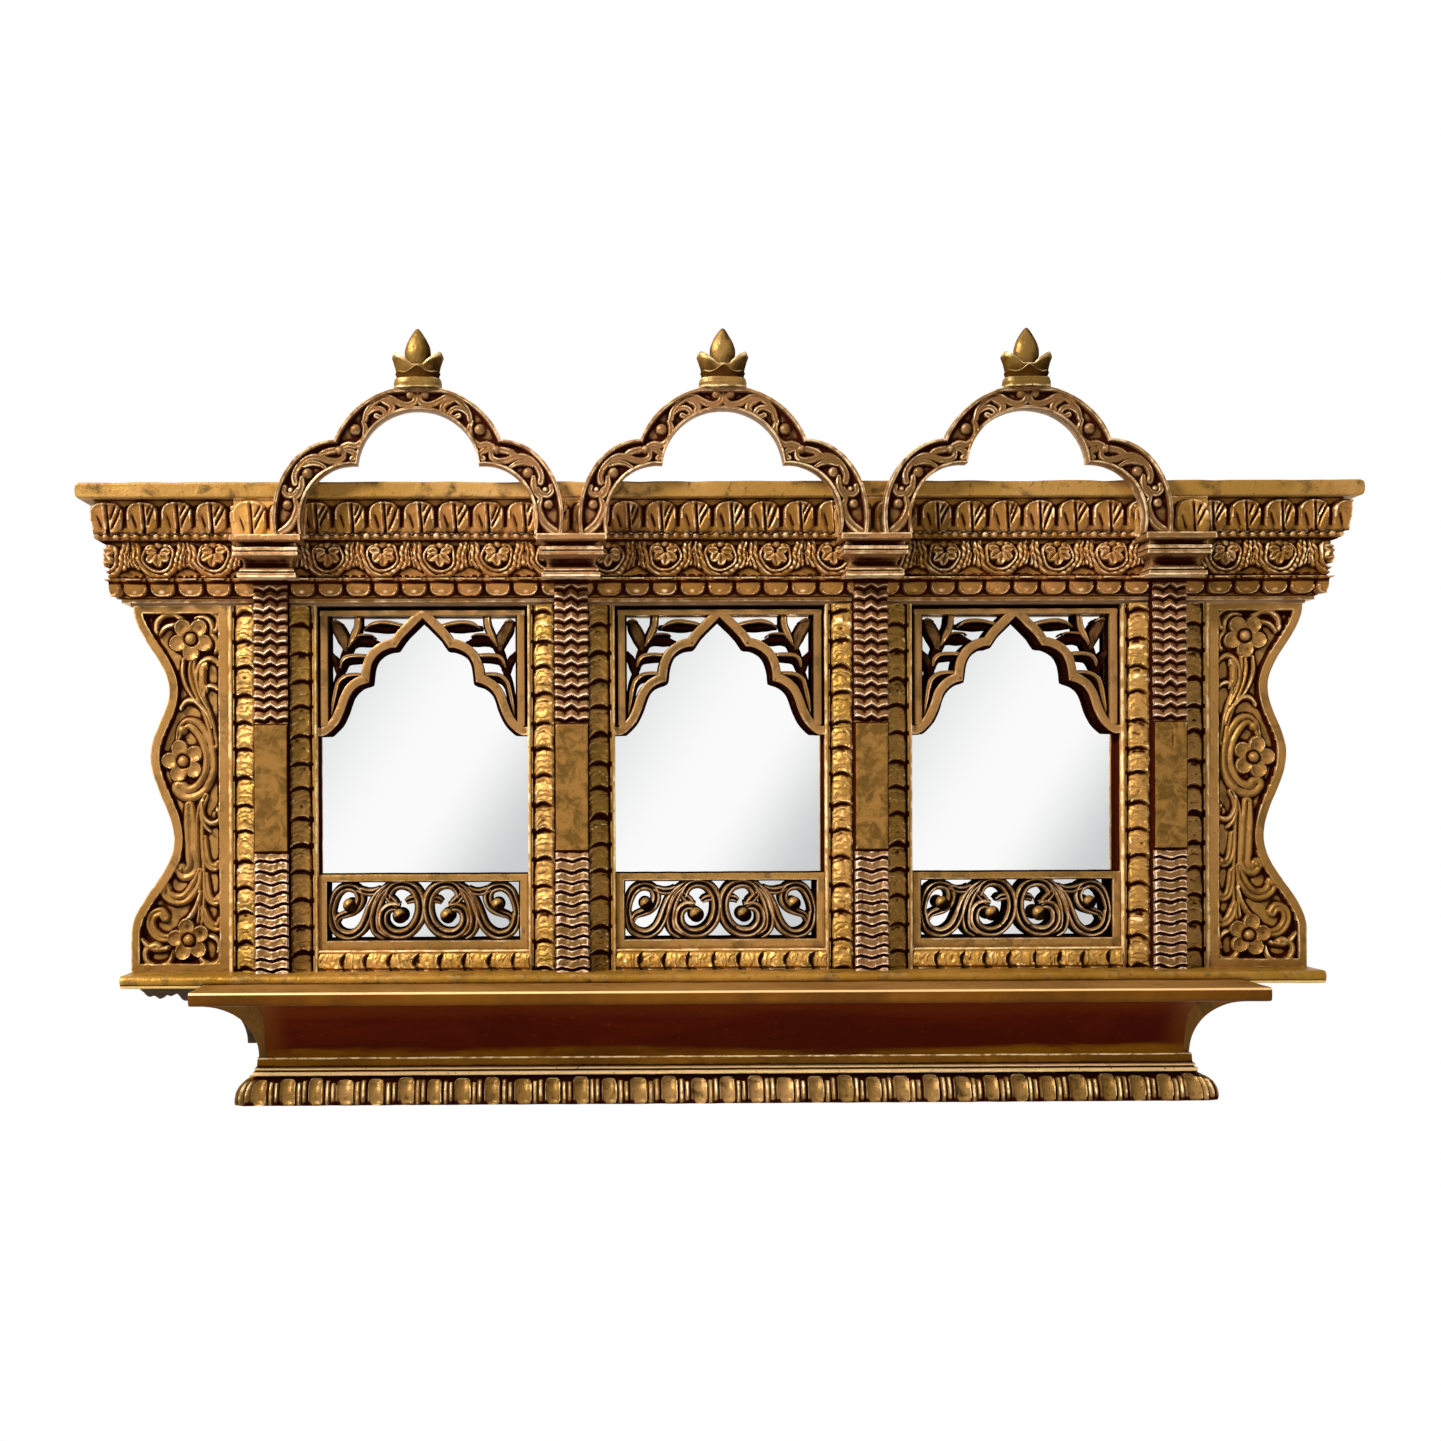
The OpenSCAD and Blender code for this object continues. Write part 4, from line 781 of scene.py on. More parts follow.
# Direction in degrees, length and half width of each petal in the frieze's flowers
FRIEZE_PETALS = [(-90, 12.4, 5.2), (-140, 12, 4.9), (-40, 12, 4.9), (-186, 10.6, 4.4), (6, 10.6, 4.4)]


def make_flower_frieze():
    """The lower frieze: flowers in rings between hanging strands."""
    _, half, _, face, z0, z1 = limits("flower_frieze")
    pitch = 53.6
    b = np.linspace(0, 1, 36)
    z = z0 + b * (z1 - z0)
    middle = (z0 + z1) / 2 + 3.2
    swell = 2.6 * np.clip(1 - ((z - (z0 + z1) / 2 - 3) / 20) ** 2, 0, 1)

    def drawn(u, k):
        """Place within a flower's stretch: aside and up from its heart, and which flower."""
        cell = np.floor(u / pitch + 0.5)
        a = u - cell * pitch + 0.9 * np.sin(cell * 1.9)
        up = z[k] - middle + 0.6 * np.sin(cell * 2.2)
        return np.broadcast_arrays(a + 0.8 * np.sin(up * 0.31 + cell), up, cell)

    def petals(a, up, cell):
        """A half-open flower that hangs under a frilled cap."""
        found = np.zeros(a.shape)
        for k, (turn, r, wide) in enumerate(FRIEZE_PETALS):
            t = math.radians(turn) + 0.10 * np.sin(cell * 3.1 + k)
            along = a * np.cos(t) + (up - 4) * np.sin(t)
            aside = -a * np.sin(t) + (up - 4) * np.cos(t)
            q = np.hypot((along - 0.62 * r) / (0.56 * r), aside / wide)
            found = np.maximum(found, ease((1 - q) / 0.25) * (0.78 + 0.22 * np.clip(q, 0, 1) ** 2
                                                              - 0.22 * hump(aside, 0, 0.8)))
        return found

    def relief(u, k):
        a, up, cell = drawn(u, k)
        around = np.where(up < 0, np.hypot(a, up), np.abs(a) - 0.13 * up)
        gap, angle = np.hypot(a, up), np.degrees(np.arctan2(up, a))
        ring = arc(gap - 14.2, 1.5) * 4.6 * (1 - hump(angle, 90, 40))
        cap = np.maximum(ball(a, up, (0, 11.4), 4.2), 0.85 * ball(np.abs(a), up, (6.4, 10.2), 3.4)) * 4.6
        strand = arc(around - 18.4, 2.5) * 4.4
        for r, low in ((22.6, -12.5), (26.2, -10.0)):
            tip = np.clip((low + 2.2 - up) / 2.2, 0, 1)
            leaf = np.sqrt(np.clip(1 - ((around - r) / 1.9) ** 2 - tip ** 2, 0, 1)) * 4.8
            strand = np.maximum(strand, leaf)
        strand = strand * (0.85 + 0.15 * np.sin(up * 0.9 + a * 0.7 + cell * 2))
        seam = 1 - hump(pitch / 2, np.abs(a), 0.8)
        frill = 3.0 * arc(up + 20.2, 1.9) * (0.6 + 0.4 * np.sin(a * 0.9 + cell))
        carved = np.maximum.reduce([petals(a, up, cell) * 6.2, ring, cap, strand * seam, frill])
        return carved * (0.4 + 0.6 * ease((21 - np.abs(up + 3)) / 2)) + swell[k] - 5.2

    # Petals pale with painted highlights; painted shade along the foot and along the top.
    def tone(u, k):
        a, up, cell = drawn(u, k)
        pale = petals(a, up, cell) * (0.8 + 0.2 * np.sin(cell * 2.9))
        return np.where(pale > 0.5, -0.30 - 0.42 * pale, 0.9 * ease((0.10 - b[k]) / 0.08)
                        + 0.8 * ease((b[k] - 0.93) / 0.05))
    bm = wrapped(half - 1.5, face - 1.5, z, 1.0, relief=relief, back=CORNICE_BACK, seed=51, tone=tone)
    piece("flower_frieze_carving", [bm], carved_gold, "flower_frieze")


def make_scallops():
    """A row of hanging cups under the cornice."""
    _, half, _, face, z0, z1 = limits("scallop_moulding")
    section = flowing([(9, z0), (9, z0 + 3.4), (6.6, z0 + 4.4), (6.8, z0 + 6), (4.6, z0 + 11),
                       (2.4, z0 + 16), (1, z0 + 20), (0, z1)], 0.85)
    inset, z = section[:, 0], section[:, 1]
    t = (z - z0) / (z1 - z0)
    pitch = 26.6

    def cup(u, k):
        """Across a hanging cup, -0.5 to 0.5, how far down it, 0 to 1, and how far out from its middle."""
        place = u / pitch
        a = place - np.floor(place + 0.5)
        down = 1 - (t[k] - 0.20) / 0.72
        q = (np.abs(a / 0.455) ** 3 + np.clip((down - 0.35) / 0.62, 0, None) ** 2.4) ** (1 / 2.6)
        return a, down, q

    def relief(u, k):
        a, down, q = cup(u, k)
        round_front = 0.55 + 0.45 * np.clip(1 - (a / 0.5) ** 2, 0, 1)
        body = ease((1 - q) / 0.16) * round_front * (0.45 + 0.55 * ease(down / 0.7))
        lip = 0.30 * hump(q, 0.86, 0.07) * (down > 0.4)
        dash = 0.45 * ease((t[k] - 0.90) / 0.03) * ease((0.30 - np.abs(a)) / 0.06)
        return (body + lip + dash) * 5.2 * (down < 1.04) - 0.8

    # Painted highlights on the middle of each cup, along its lip and on the fillet at the foot; painted
    # shade over the cups' upper part, under the frieze, and just above the fillet.
    def tone(u, k):
        a, down, q = cup(u, k)
        lit = np.exp(-((a + 0.03) / 0.21) ** 2 - ((down - 0.66) / 0.2) ** 2)
        lip = hump(q, 0.88, 0.07) * (down > 0.55)
        shade = 0.85 * ease((0.42 - down) / 0.25) * (t[k] < 0.9) + 0.9 * (down > 1.0) * (t[k] > 0.17)
        return shade * (1 - lit) - 0.95 * lit - 0.55 * lip * (1 - lit) - 0.75 * (t[k] < 0.13) * (t[k] > 0.03)
    bm = wrapped(half - inset, face - inset, z, 1.1, relief=relief, lean=(1, -0.15),
                 back=(rail_half - 4, frame_face - 1), seed=61, tone=tone)
    piece("scallop_row", [bm], carved_gold, "scallop_moulding")


# Section of a capital under its slab: how far in, and the share of the height
CAPITAL_SECTION = [
    (-5.5, 0), (-5.6, 0.1), (-6.4, 0.125), (-8.2, 0.13), (-8.2, 0.165), (-7.2, 0.18), (-7.6, 0.22),
    (-9, 0.27), (-10.4, 0.31), (-10.6, 0.4), (-9.4, 0.5), (-7.6, 0.56), (-5.6, 0.585), (-3.1, 0.60),
    (-2.7, 0.64), (-3.1, 0.695), (-4.6, 0.71), (-4.6, 0.73), (-3.1, 0.745), (-2.8, 0.79), (-3.2, 0.835),
    (-5.2, 0.85), (-5.2, 0.985),
]
SLAB = 6


def make_capitals():
    """Stepped capitals that return at both sides."""
    for i in STILES:
        x0, x1, back, face, z0, z1 = limits(f"capital_{i}")
        points = [(inset, z0 + share * (z1 - SLAB - z0)) for inset, share in CAPITAL_SECTION]
        points += [(-2.2, z1 - SLAB), (-0.4, z1 - 5.8), (0, z1 - 5.2), (-0.1, z1 - 3), (-0.4, z1 - 0.7),
                   (-1.2, z1)]
        inset, z = dense_path(points, 1.1).T
        bm = wrapped((x1 - x0) / 2 + inset, face - back + 1.76 * inset, z, 2.0, back=(0.4, 0.4), seed=70 + i,
                     worn=0.22)
        piece(f"capital_moulded_{i}", [moved(bm, stiles[i - 1], back)], capital_gold, f"capital_{i}")


# Arches and finials

# Strands of the vine: width, taper at its start and end, and its line from the arch's middle and foot
VINE = [
    (4.2, (1, 0.8), [(3.5, 133.5), (1, 129.5), (2.5, 123.5), (7.5, 120.5), (14, 121), (20.5, 124),
                     (27, 127.5), (33.5, 127), (39.5, 123.5), (44, 119), (47.5, 113.5), (49, 107)]),
    (4.2, (0.5, 1), [(33.5, 124.5), (27, 122.5), (23.5, 118), (24.5, 114.5)]),
    (3.2, (0.6, 1), [(47, 111.5), (42, 116), (36.5, 117.5), (32, 115.5), (30, 111.5), (33.5, 108.5),
                     (38.5, 110.5)]),
    (4.2, (0.6, 0.9), [(50.5, 105), (48.5, 98.5), (49, 91), (52.5, 85.5), (58, 82.5), (64.5, 83.5),
                       (70, 81.5)]),
    (3.8, (0.6, 1), [(66.5, 78.5), (61, 77), (57, 73), (61, 70.5)]),
    (4.2, (0.7, 0.9), [(68.5, 77), (69.5, 71), (75, 68), (82.5, 68.5), (90, 71), (97.5, 72), (104, 70),
                       (109.5, 65.5), (113.5, 60), (115.5, 53.5), (114.5, 48)]),
    (4, (0.4, 1), [(92, 74), (84.5, 77), (78, 78.5)]),
    (3.4, (0.5, 0.6), [(107, 63.5), (99.5, 66.5), (92, 65.5), (86, 62)]),
    (4.2, (0.7, 0.8), [(108, 52.5), (108.5, 45), (110.5, 38.5), (114.5, 34)]),
    (3.2, (0.7, 1), [(112.5, 42), (115.5, 37.5), (121, 36), (125, 39.5), (124.5, 44)]),
    (4.8, (0.6, 1), [(114.5, 32), (112.5, 24.5), (115, 16), (119, 9.5), (124.5, 4.5), (129.5, 1)]),
]
# Places and radii of the berries
BERRIES = [((6.5, 130.5), 4.4), ((58, 97.5), 5.2), ((73, 78.5), 4.2), ((103, 57), 5.0),
           ((122, 27.5), 4.4), ((119, 41), 2.8)]


def oval_arc(centre, rx, rz, start, stop, count):
    """Points on part of an oval, between two angles in degrees."""
    a = np.radians(np.linspace(start, stop, count))
    return np.stack([centre[0] + rx * np.cos(a), centre[1] + rz * np.sin(a)], -1)


def three_lobes(crown, haunch, rows):
    """Half the outline of a three-lobed arch, from its foot up to the middle of its crown."""
    (cz, cx_r, cz_r), (hx, hz, hx_r, hz_r) = crown, haunch
    a = np.radians(np.linspace(0, 90, 2000))
    on_crown = np.stack([cx_r * np.cos(a), cz + cz_r * np.sin(a)], -1)
    inside = ((on_crown[:, 0] - hx) / hx_r) ** 2 + ((on_crown[:, 1] - hz) / hz_r) ** 2 < 1
    k = np.nonzero(inside)[0].max() if inside.any() else 0
    meet = on_crown[k]
    foot = math.degrees(math.asin(-hz / hz_r))
    meet_haunch = math.degrees(math.atan2((meet[1] - hz) / hz_r, (meet[0] - hx) / hx_r))
    side = oval_arc((hx, hz), hx_r, hz_r, foot, meet_haunch, rows[0])
    top = oval_arc((0, cz), cx_r, cz_r, math.degrees(a[k]), 90, rows[1])
    return np.vstack([side[:-1], top])


def make_arches():
    """Arches with a carved vine between two rims, built from their outer to their inner edge."""
    for i in BAYS:
        _, _, back, face, z0, z1 = limits(f"arch_{i}")
        rows = (130, 116)
        outer = three_lobes((65, 82, 73.6), (78, 15, 58, 73), rows)
        inner = three_lobes((61, 57, 55.6), (61, 13, 49, 52.5), rows)
        outer = np.vstack([outer, (outer * (-1, 1))[-2::-1]])
        inner = np.vstack([inner, (inner * (-1, 1))[-2::-1]])
        outer[:, 1] = np.minimum(outer[:, 1], z1 - z0)
        t = np.concatenate([[0], np.linspace(0.02, 0.98, 33), [1]])
        place = inner[:, None, :] + (outer - inner)[:, None, :] * t[None, :, None]
        x, z = place[..., 0], place[..., 1]
        wide = np.linalg.norm(outer - inner, axis=1)[:, None]
        from_out, from_in = (1 - t)[None, :] * wide, t[None, :] * wide
        vine = np.zeros(x.shape)
        for width, taper, line in VINE:
            vine = np.maximum(vine, roll(np.abs(x), z, line, width * 1.7, taper, 0.35) * 4.0)
        for centre, r in BERRIES:
            vine = np.maximum(vine, ball(np.abs(x), z, centre, r) * 4.6)
        ground = -4.6 + 0.25 * waver(np.stack([x, x * 0 + i * 9, z], -1), 5, 4)
        rim = ease((4.4 - from_out) / 1.6) * 5.0
        inner_rim = ease((3.3 - from_in) / 1.2) * 4.2
        level = face + ground + np.maximum.reduce([vine, rim, inner_rim])
        level[:, 0] -= 1.2
        level[:, -1] -= 1.4
        front = np.stack([x, level, z], -1)
        ring = [(0, face - 1.4 - (face - 1.4 - back) * share) for share in (0.12, 0.5, 0.92)]
        ring += [(share, back) for share in (0.04, 0.5, 0.96)]
        ring += [(1, face - 1.2 - (face - 1.2 - back) * share) for share in (0.92, 0.5, 0.12)]
        rest = []
        for share, out in ring:
            at = outer + (inner - outer) * share
            rest.append(column(at[:, 0], out, at[:, 1]))
        table = np.concatenate([front] + rest, axis=1)
        table[..., 0] += bays[i - 1]
        table[..., 2] += z0
        bm = skin(hand_cut(table, 0.16, 14, 80 + i))
        piece(f"arch_carving_{i}", [bm], vine_gold, f"arch_{i}")


def make_finials():
    """A turned collar with two cups of leaves and a bud, flattened from front to back."""
    for i in BAYS:
        _, _, back, face, z0, _ = limits(f"finial_{i}")
        centre_out = (back + face) / 2
        flat = 0.64
        theta = np.linspace(0, 2 * math.pi, 97)[:-1]
        ca, sa = np.cos(theta), np.sin(theta)

        def ring(r, z, square=0.0):
            """One level of a shape round the finial's middle."""
            wide = (np.abs(ca) ** 4 + np.abs(sa) ** 4) ** -0.25
            r = r * (1 + square * (wide - 1))
            return np.stack([r * ca, centre_out + r * sa * flat, z0 + z + 0 * ca], -1)

        def turned(profile, square=0.0):
            return np.stack([ring(r, z, square) for r, z in profile])

        def cup(low, top, foot_r, top_r, bevel, thick, floor):
            """Leaves joined into a cup, with a rising and falling top edge bevelled towards the front."""
            rows = [ring(0.2, low)]
            wall = top - bevel
            for t in np.linspace(0, 1, 15):
                r = foot_r + (top_r - foot_r) * t ** 1.3 - 0.9 * math.sin(math.pi * t)
                rows.append(ring(r, low + (wall - low) * t))
            for t in (0.35, 0.7, 1):
                rows.append(ring(top_r - 2.4 * t, wall + bevel * (1 - (1 - t) ** 2)))
            for t in np.linspace(0.1, 1, 8):
                rows.append(ring(top_r - 2.4 - thick * t ** 0.5, top - (top - floor) * t))
            rows.append(ring(0.2, floor))
            return np.stack(rows)
        side = np.clip((np.abs(ca) * 24.5 - 7.5) / 15.0, 0, 1)
        tall_leaves = cup(9.4, 22.5 + 12.2 * side ** 0.9, 20.2 + 0 * ca, 19.6 + 4.8 * side, 1.5 + 3.8 * side,
                          7.0, 18.0)
        wave = 15.6 + 6.0 * hump(ca, 0, 0.30) + 1.8 * hump(np.abs(ca), 0.86, 0.14)
        low_leaves = cup(9.2, wave, 20.9 + 0 * ca, 21.2 + 0.5 * np.abs(sa), 1.6 + 0 * ca, 2.5, 12.0)
        collar = turned([(0.5, 0.2), (21, 0.2), (22.6, 0.5), (22.8, 1.6), (22.2, 4.4), (22.6, 5.4),
                         (22.3, 6.4), (21.8, 8.6), (21.2, 9.6), (19.6, 9.9), (0.5, 10.2)], 0.55)
        bud_line = flowing([(0.2, 12), (8, 12.5), (9.6, 20), (10.8, 26), (12.0, 32), (12.1, 36), (11.0, 41),
                            (8.8, 46), (6.2, 50.5), (3.4, 54.6), (1.4, 56.9), (0.12, 57.6)], 1.4)
        bud = turned([(max(0.12, r), z) for r, z in bud_line])
        parts = []
        # Painted highlight on the front of the bud, on the cups' bevelled rims and on the collar's beads;
        # painted shade over the rest of the bud, on the cups' walls and in the collar's grooves.
        bright = hump(theta - math.pi / 2, 0.35, 0.45)
        height = (bud[:, 0, 2] - z0)[:, None]
        bud_tone = 0.70 - 1.5 * bright[None, :] * hump(height, 43, 8.0)
        levels = np.arange(len(tall_leaves))
        bevel = (levels >= 16) & (levels < 19)
        tall_tone = np.where(bevel, -0.9, np.interp(levels, [0, 15], [0.86, 0.66]))
        low_tone = np.where(bevel, -0.9, 0.84)
        collar_tone = np.array([0.5, 0.5, -0.2, -0.6, 0.66, -0.75, -0.45, 0.2, 0.8, 0.9, 0.9])
        for table, tone in ((collar, collar_tone[:, None]), (tall_leaves, tall_tone[:, None]),
                            (low_leaves, low_tone[:, None]), (bud, bud_tone)):
            table[..., 0] += bays[i - 1]
            parts.append(skin(hand_cut(table, 0.35, 8, 90 + i), tone))
        piece(f"finial_carving_{i}", parts, finial_gold, f"finial_{i}")


# Frame: stiles, rails and pilasters

# Rebates that hold the panes, in the stiles and bottom rails: their front, and how far they cut in
REBATE_OUT = 19.0
REBATE = 7.0


def make_stiles():
    """Stiles with a lobed border on each side and a bead towards the window."""
    pitch = 26.2
    for i, (_, _, back, _, z0, z1) in enumerate(stile_boxes, 1):
        c = stiles[i - 1]
        z = steps(z0, z1, 1.0)
        a = np.concatenate([steps(0, 15.5, 8), steps(16.5, 37, 0.95), np.linspace(37.6, stile_half, 6)])
        v = np.clip((a - 16.5) / 20.8, 0, 1.4)
        zz, aa = np.meshgrid(z, a, indexing="ij")
        vv = np.broadcast_to(v[None, :], zz.shape)

        def level(hand):
            # The left border gets full painted highlights, the right one weaker ones, as the side turned
            # from the light.
            carved, tone = lobes(zz - z0 + 6.0 * hand + 5, vv, pitch, 7 * i + hand, bright=hand < 0)
            field = (aa > 16.4) & (vv < 1.0)
            out = np.where(field, frame_face - 3.0 + 6.2 * (1 - vv) + carved * 5.0, frame_face - 1.0)
            out = np.where(aa < 16, frame_face + 1.0, out)
            bead = frame_face + 1.4 + 0.7 * arc(aa - 40.2, 1.9)
            out = np.where(aa > 37.4, bead - 1.2 * hump(aa, 38.1, 0.5), out)
            # Painted shade: the lobes' crescents carried on into the notches of the fillet, and the strip
            # under the pilaster.
            notch = np.clip(tone[:, [int(np.argmin(np.abs(v - 0.72)))]], 0, 1)
            tone = np.where(field, tone, np.where(aa > 38.9, 0.12, 0.28 + notch))
            tone = np.where(aa < 16.4, 0.95, tone)
            return np.where(aa >= stile_half - 0.01, frame_face - 0.5, out), tone
        out, right_tone = level(1)
        right = np.stack([c + aa, out, zz], -1)
        out, left_tone = level(-1)
        left = np.stack([c - aa, out, zz], -1)[:, ::-1]
        above = z >= window_low - REBATE

        def edge(sign, cut):
            """The stile's side, with a rebate for the pane along the windows."""
            x_edge = c + sign * stile_half
            x_cut = np.where(above, x_edge - sign * cut, x_edge)
            out = np.where(above & (cut > 0), REBATE_OUT, back)
            return [column(x, o, z) for x, o in ((x_edge, 30), (x_edge, out), (x_cut, out), (x_cut, back))]
        sides = edge(1, REBATE * (i < 4)) + edge(-1, REBATE * (i > 1))[::-1]
        table = np.concatenate([left, right] + sides, axis=1)
        tone = np.concatenate([left_tone[:, ::-1], right_tone, np.full((len(z), 8), 0.9)], axis=1)
        bm = skin(hand_cut(table, 0.2, 12, 100 + i), tone)
        piece(f"stile_carving_{i}", [bm], border_gold, f"frame_stile_{i}")


def make_bottom_rails():
    """Rails under the windows: crumpled lobes with a bead above them."""
    tall = 16.5
    for i in BAYS:
        x0, x1, back, _, z0, z1 = limits(f"bottom_rail_{i}")
        x = steps(x0, x1, 0.95)
        z = np.concatenate([steps(z0, z0 + tall, 0.85), np.linspace(z0 + tall + 0.7, z1, 5)])
        xx, zz = np.meshgrid(x, z, indexing="ij")
        v = (zz - z0) / tall
        carved, tone = lobes(x0 - xx, 1.06 - np.clip(v, 0, 1.06), 23.6, 40 + i, bright=True)
        field = v < 1.02
        bead = 2.0 * arc(zz - (z1 - 1.6), 1.7)
        out = frame_face - 1.4 + np.where(field, carved * 5.0 + 2.2 * (1 - np.clip(v, 0, 1)), 0) + bead
        # Painted highlight on the bead, painted shade on the strip beside it.
        tone = np.where(field, tone, np.where(bead > 0.5, -0.3, 0.7))
        front = np.stack([xx, out, zz], -1)
        ring = [(back + REBATE_OUT, z1), (back + REBATE_OUT, z1 - REBATE), (back, z1 - REBATE), (back, z0)]
        rest = [column(x, o, level) for o, level in ring]
        tone = np.concatenate([tone, np.full((len(x), len(ring)), 0.9)], axis=1)
        bm = skin(hand_cut(np.concatenate([front] + rest, axis=1), 0.2, 12, 110 + i), tone)
        piece(f"bottom_rail_carving_{i}", [bm], bottom_gold, f"bottom_rail_{i}")


def make_pilasters():
    """Chevrons in relief above and below a plain block."""
    boxes = [limits(f"pilaster_{i}") for i in STILES]
    low, high = boxes[0][4] + 115, boxes[0][4] + 237
    finish = pilaster_finish(low, high)
    for i, (x0, x1, back, face, z0, z1) in enumerate(boxes, 1):
        c, half = stiles[i - 1], (x1 - x0) / 2
        z = np.unique(np.concatenate([steps(z0, low - 0.4, 0.68), steps(low, high, 2.6),
                                      steps(high + 0.4, z1, 0.68), [low + 0.7, high - 0.7]]))
        a = np.concatenate([[-half], steps(-half + 0.5, half - 0.5, 0.9), [half]])
        zz, aa = np.meshgrid(z, a, indexing="ij")
        upper = zz > high
        wave = np.interp(aa / half, [-1, -0.84, -0.66, -0.40, -0.16, 0, 0.16, 0.40, 0.66, 0.84, 1],
                         [0.42, 0.50, 0.42, 0.0, 0.62, 0.96, 0.62, 0.0, 0.42, 0.50, 0.42]) * 3.7
        dipped = np.interp(aa / half, [-1, -0.86, -0.68, -0.36, -0.1, 0.08, 0.36, 0.66, 0.86, 1],
                           [0.35, 0.62, 0.92, 0.45, 0.02, 0.04, 0.62, 1.0, 0.85, 0.5]) * 3.0
        wave = np.where(upper, wave, dipped)
        wobble = 1.2 * waver(np.stack([aa * 0.6, zz * 0 + i * 31, zz], -1), 11, 7)
        share = (z1 - zz + wave + wobble) / 10.35
        share = share - np.floor(share)
        thin = np.interp(share, [0, 0.10, 0.45, 0.72, 0.84, 0.93, 1],
                         [0.0, 0.04, 0.28, 0.85, 1.0, 0.35, 0.0])
        broad = np.interp(share, [0, 0.12, 0.22, 0.55, 0.86, 0.94, 1],
                          [0.0, 0.02, 0.60, 0.80, 1.0, 0.25, 0.0])
        grain = waver(np.stack([aa, zz * 0 + i * 9, zz], -1), 3, 8)
        ripple = 0.10 * np.cos(aa / half * 7.4) + 0.10 * grain
        saw = np.where(upper, thin, broad + ripple * (broad > 0.4))
        edge = np.minimum(np.minimum(half - np.abs(aa), zz - low), high - zz)
        plain = face - 1.1 * np.exp(-np.clip(edge, 0, None) / 0.7)
        on_block = (zz >= low) & (zz <= high)
        out = np.where(on_block, plain, face - 4.8 + 4.8 * saw - 0.8 * (half - np.abs(aa) < 0.6))
        # tone: painted highlights on the chevrons' crests and inside the lower chevrons; painted shade in
        # their grooves and along their sides, round the block's edges, in a line under the block and under
        # the capital.
        crest = hump(share, 0.82, 0.09)
        floor = 1.0 * np.clip(np.where(upper, (0.5 - share) / 0.3, (0.17 - share) / 0.06), 0, 1)
        floor = np.maximum(floor, 0.95 * ease((share - 0.93) / 0.05))
        tone = np.where(on_block, 0.3 * (edge > 1), floor - np.where(upper, 0.9, 0.75) * crest
                        - 0.62 * (~upper) * (share > 0.2) * (share < 0.8))
        tone = np.where(on_block & (edge < 0.9), 0.85, tone)
        tone = np.where(~on_block & (half - np.abs(aa) < 1.2), np.maximum(tone, 0.7), tone)
        tone = np.where((zz > low - 1.7) & (zz < low), 1.0, tone)
        shadow = 0.95 * ease((zz - (z1 - 9)) / 6)
        tone = np.where(on_block, tone, np.maximum(tone, shadow))
        if i == 4:
            mark = hump(aa, 2, 0.9) * ease((zz - (high - 26)) / 3) * ease((high - 6 - zz) / 3)
            out = out - 0.8 * mark * on_block
        front = np.stack([c + aa, out, zz], -1)
        ring = [(1, face - 7), (1, back), (-1, back), (-1, face - 7)]
        rest = [column(c + side * half, out, z) for side, out in ring]
        tone = np.concatenate([tone, np.full((len(z), 4), 0.9)], axis=1)
        bm = skin(hand_cut(np.concatenate([front] + rest, axis=1), 0.16, 12, 120 + i), tone)
        piece(f"pilaster_carving_{i}", [bm], finish, f"pilaster_{i}")


def pilaster_finish(low, high):
    """Pink-gold chevrons with a plain olive-gold block between them, pale where the gilt is rubbed and where
    highlights are painted, and dark red in the hollows as patina and painted shade.
    """
    f = Finish("pilaster_gold")
    inside = f.band(low - 1, low + 0.5, high - 0.5, high + 1)
    broad, patch = f.noise(8, 4, 0.6), f.noise(84, 5, 0.65, warp=0.5)
    crumb, speck = f.noise(130, 3, 0.6, warp=0.4), f.noise(260, 4, 0.65)
    rubbed_and_highlit, hollow = f.stored("rubbed_and_highlit"), f.stored("hollow")
    gold = f.blend(f.between(broad, 0.35, 0.65), tint(132, 94, 58), tint(108, 78, 40))
    plain = f.blend(f.between(patch, 0.38, 0.62), tint(138, 98, 46), tint(94, 66, 24))
    colour = f.blend(inside, gold, plain)
    # Pale gold and a near-white painted highlight on the proudest and brightest-toned parts.
    bright = f.sum(rubbed_and_highlit, f.between(crumb, 0.3, 0.7, -0.13, 0.08))
    colour = f.blend(f.between(bright, 0.56, 0.84, 0, 0.8), colour, tint(228, 184, 152))
    colour = f.blend(f.between(bright, 0.80, 1.0, 0, 0.75), colour, tint(255, 230, 200))
    # Dark red in the hollows: patina, and painted shade.
    deep = f.between(f.sum(hollow, f.between(speck, 0.3, 0.7, -0.05, 0.05)), 0.56, 0.84)
    colour = f.blend(deep, colour, tint(46, 12, 4))
    colour = f.blend(f.between(speck, 0.62, 0.74, 0, 0.6), colour, tint(92, 58, 20))
    f.set(Base_Color=colour, Metallic=f.between(deep, 0, 0.7, 0.3, 0.0),
          Roughness=f.between(f.sum(patch, deep), 0.3, 1.2, 0.36, 0.8),
          Specular_IOR_Level=f.between(deep, 0.1, 0.7, 0.22, 0.0), Specular_Tint=(1.0, 0.72, 0.36, 1.0))
    f.bump(f.sum(f.sum(speck, 0.5, "MULTIPLY"), f.sum(patch, crumb)), 0.4, 0.0007)
    return f.material


# Brackets

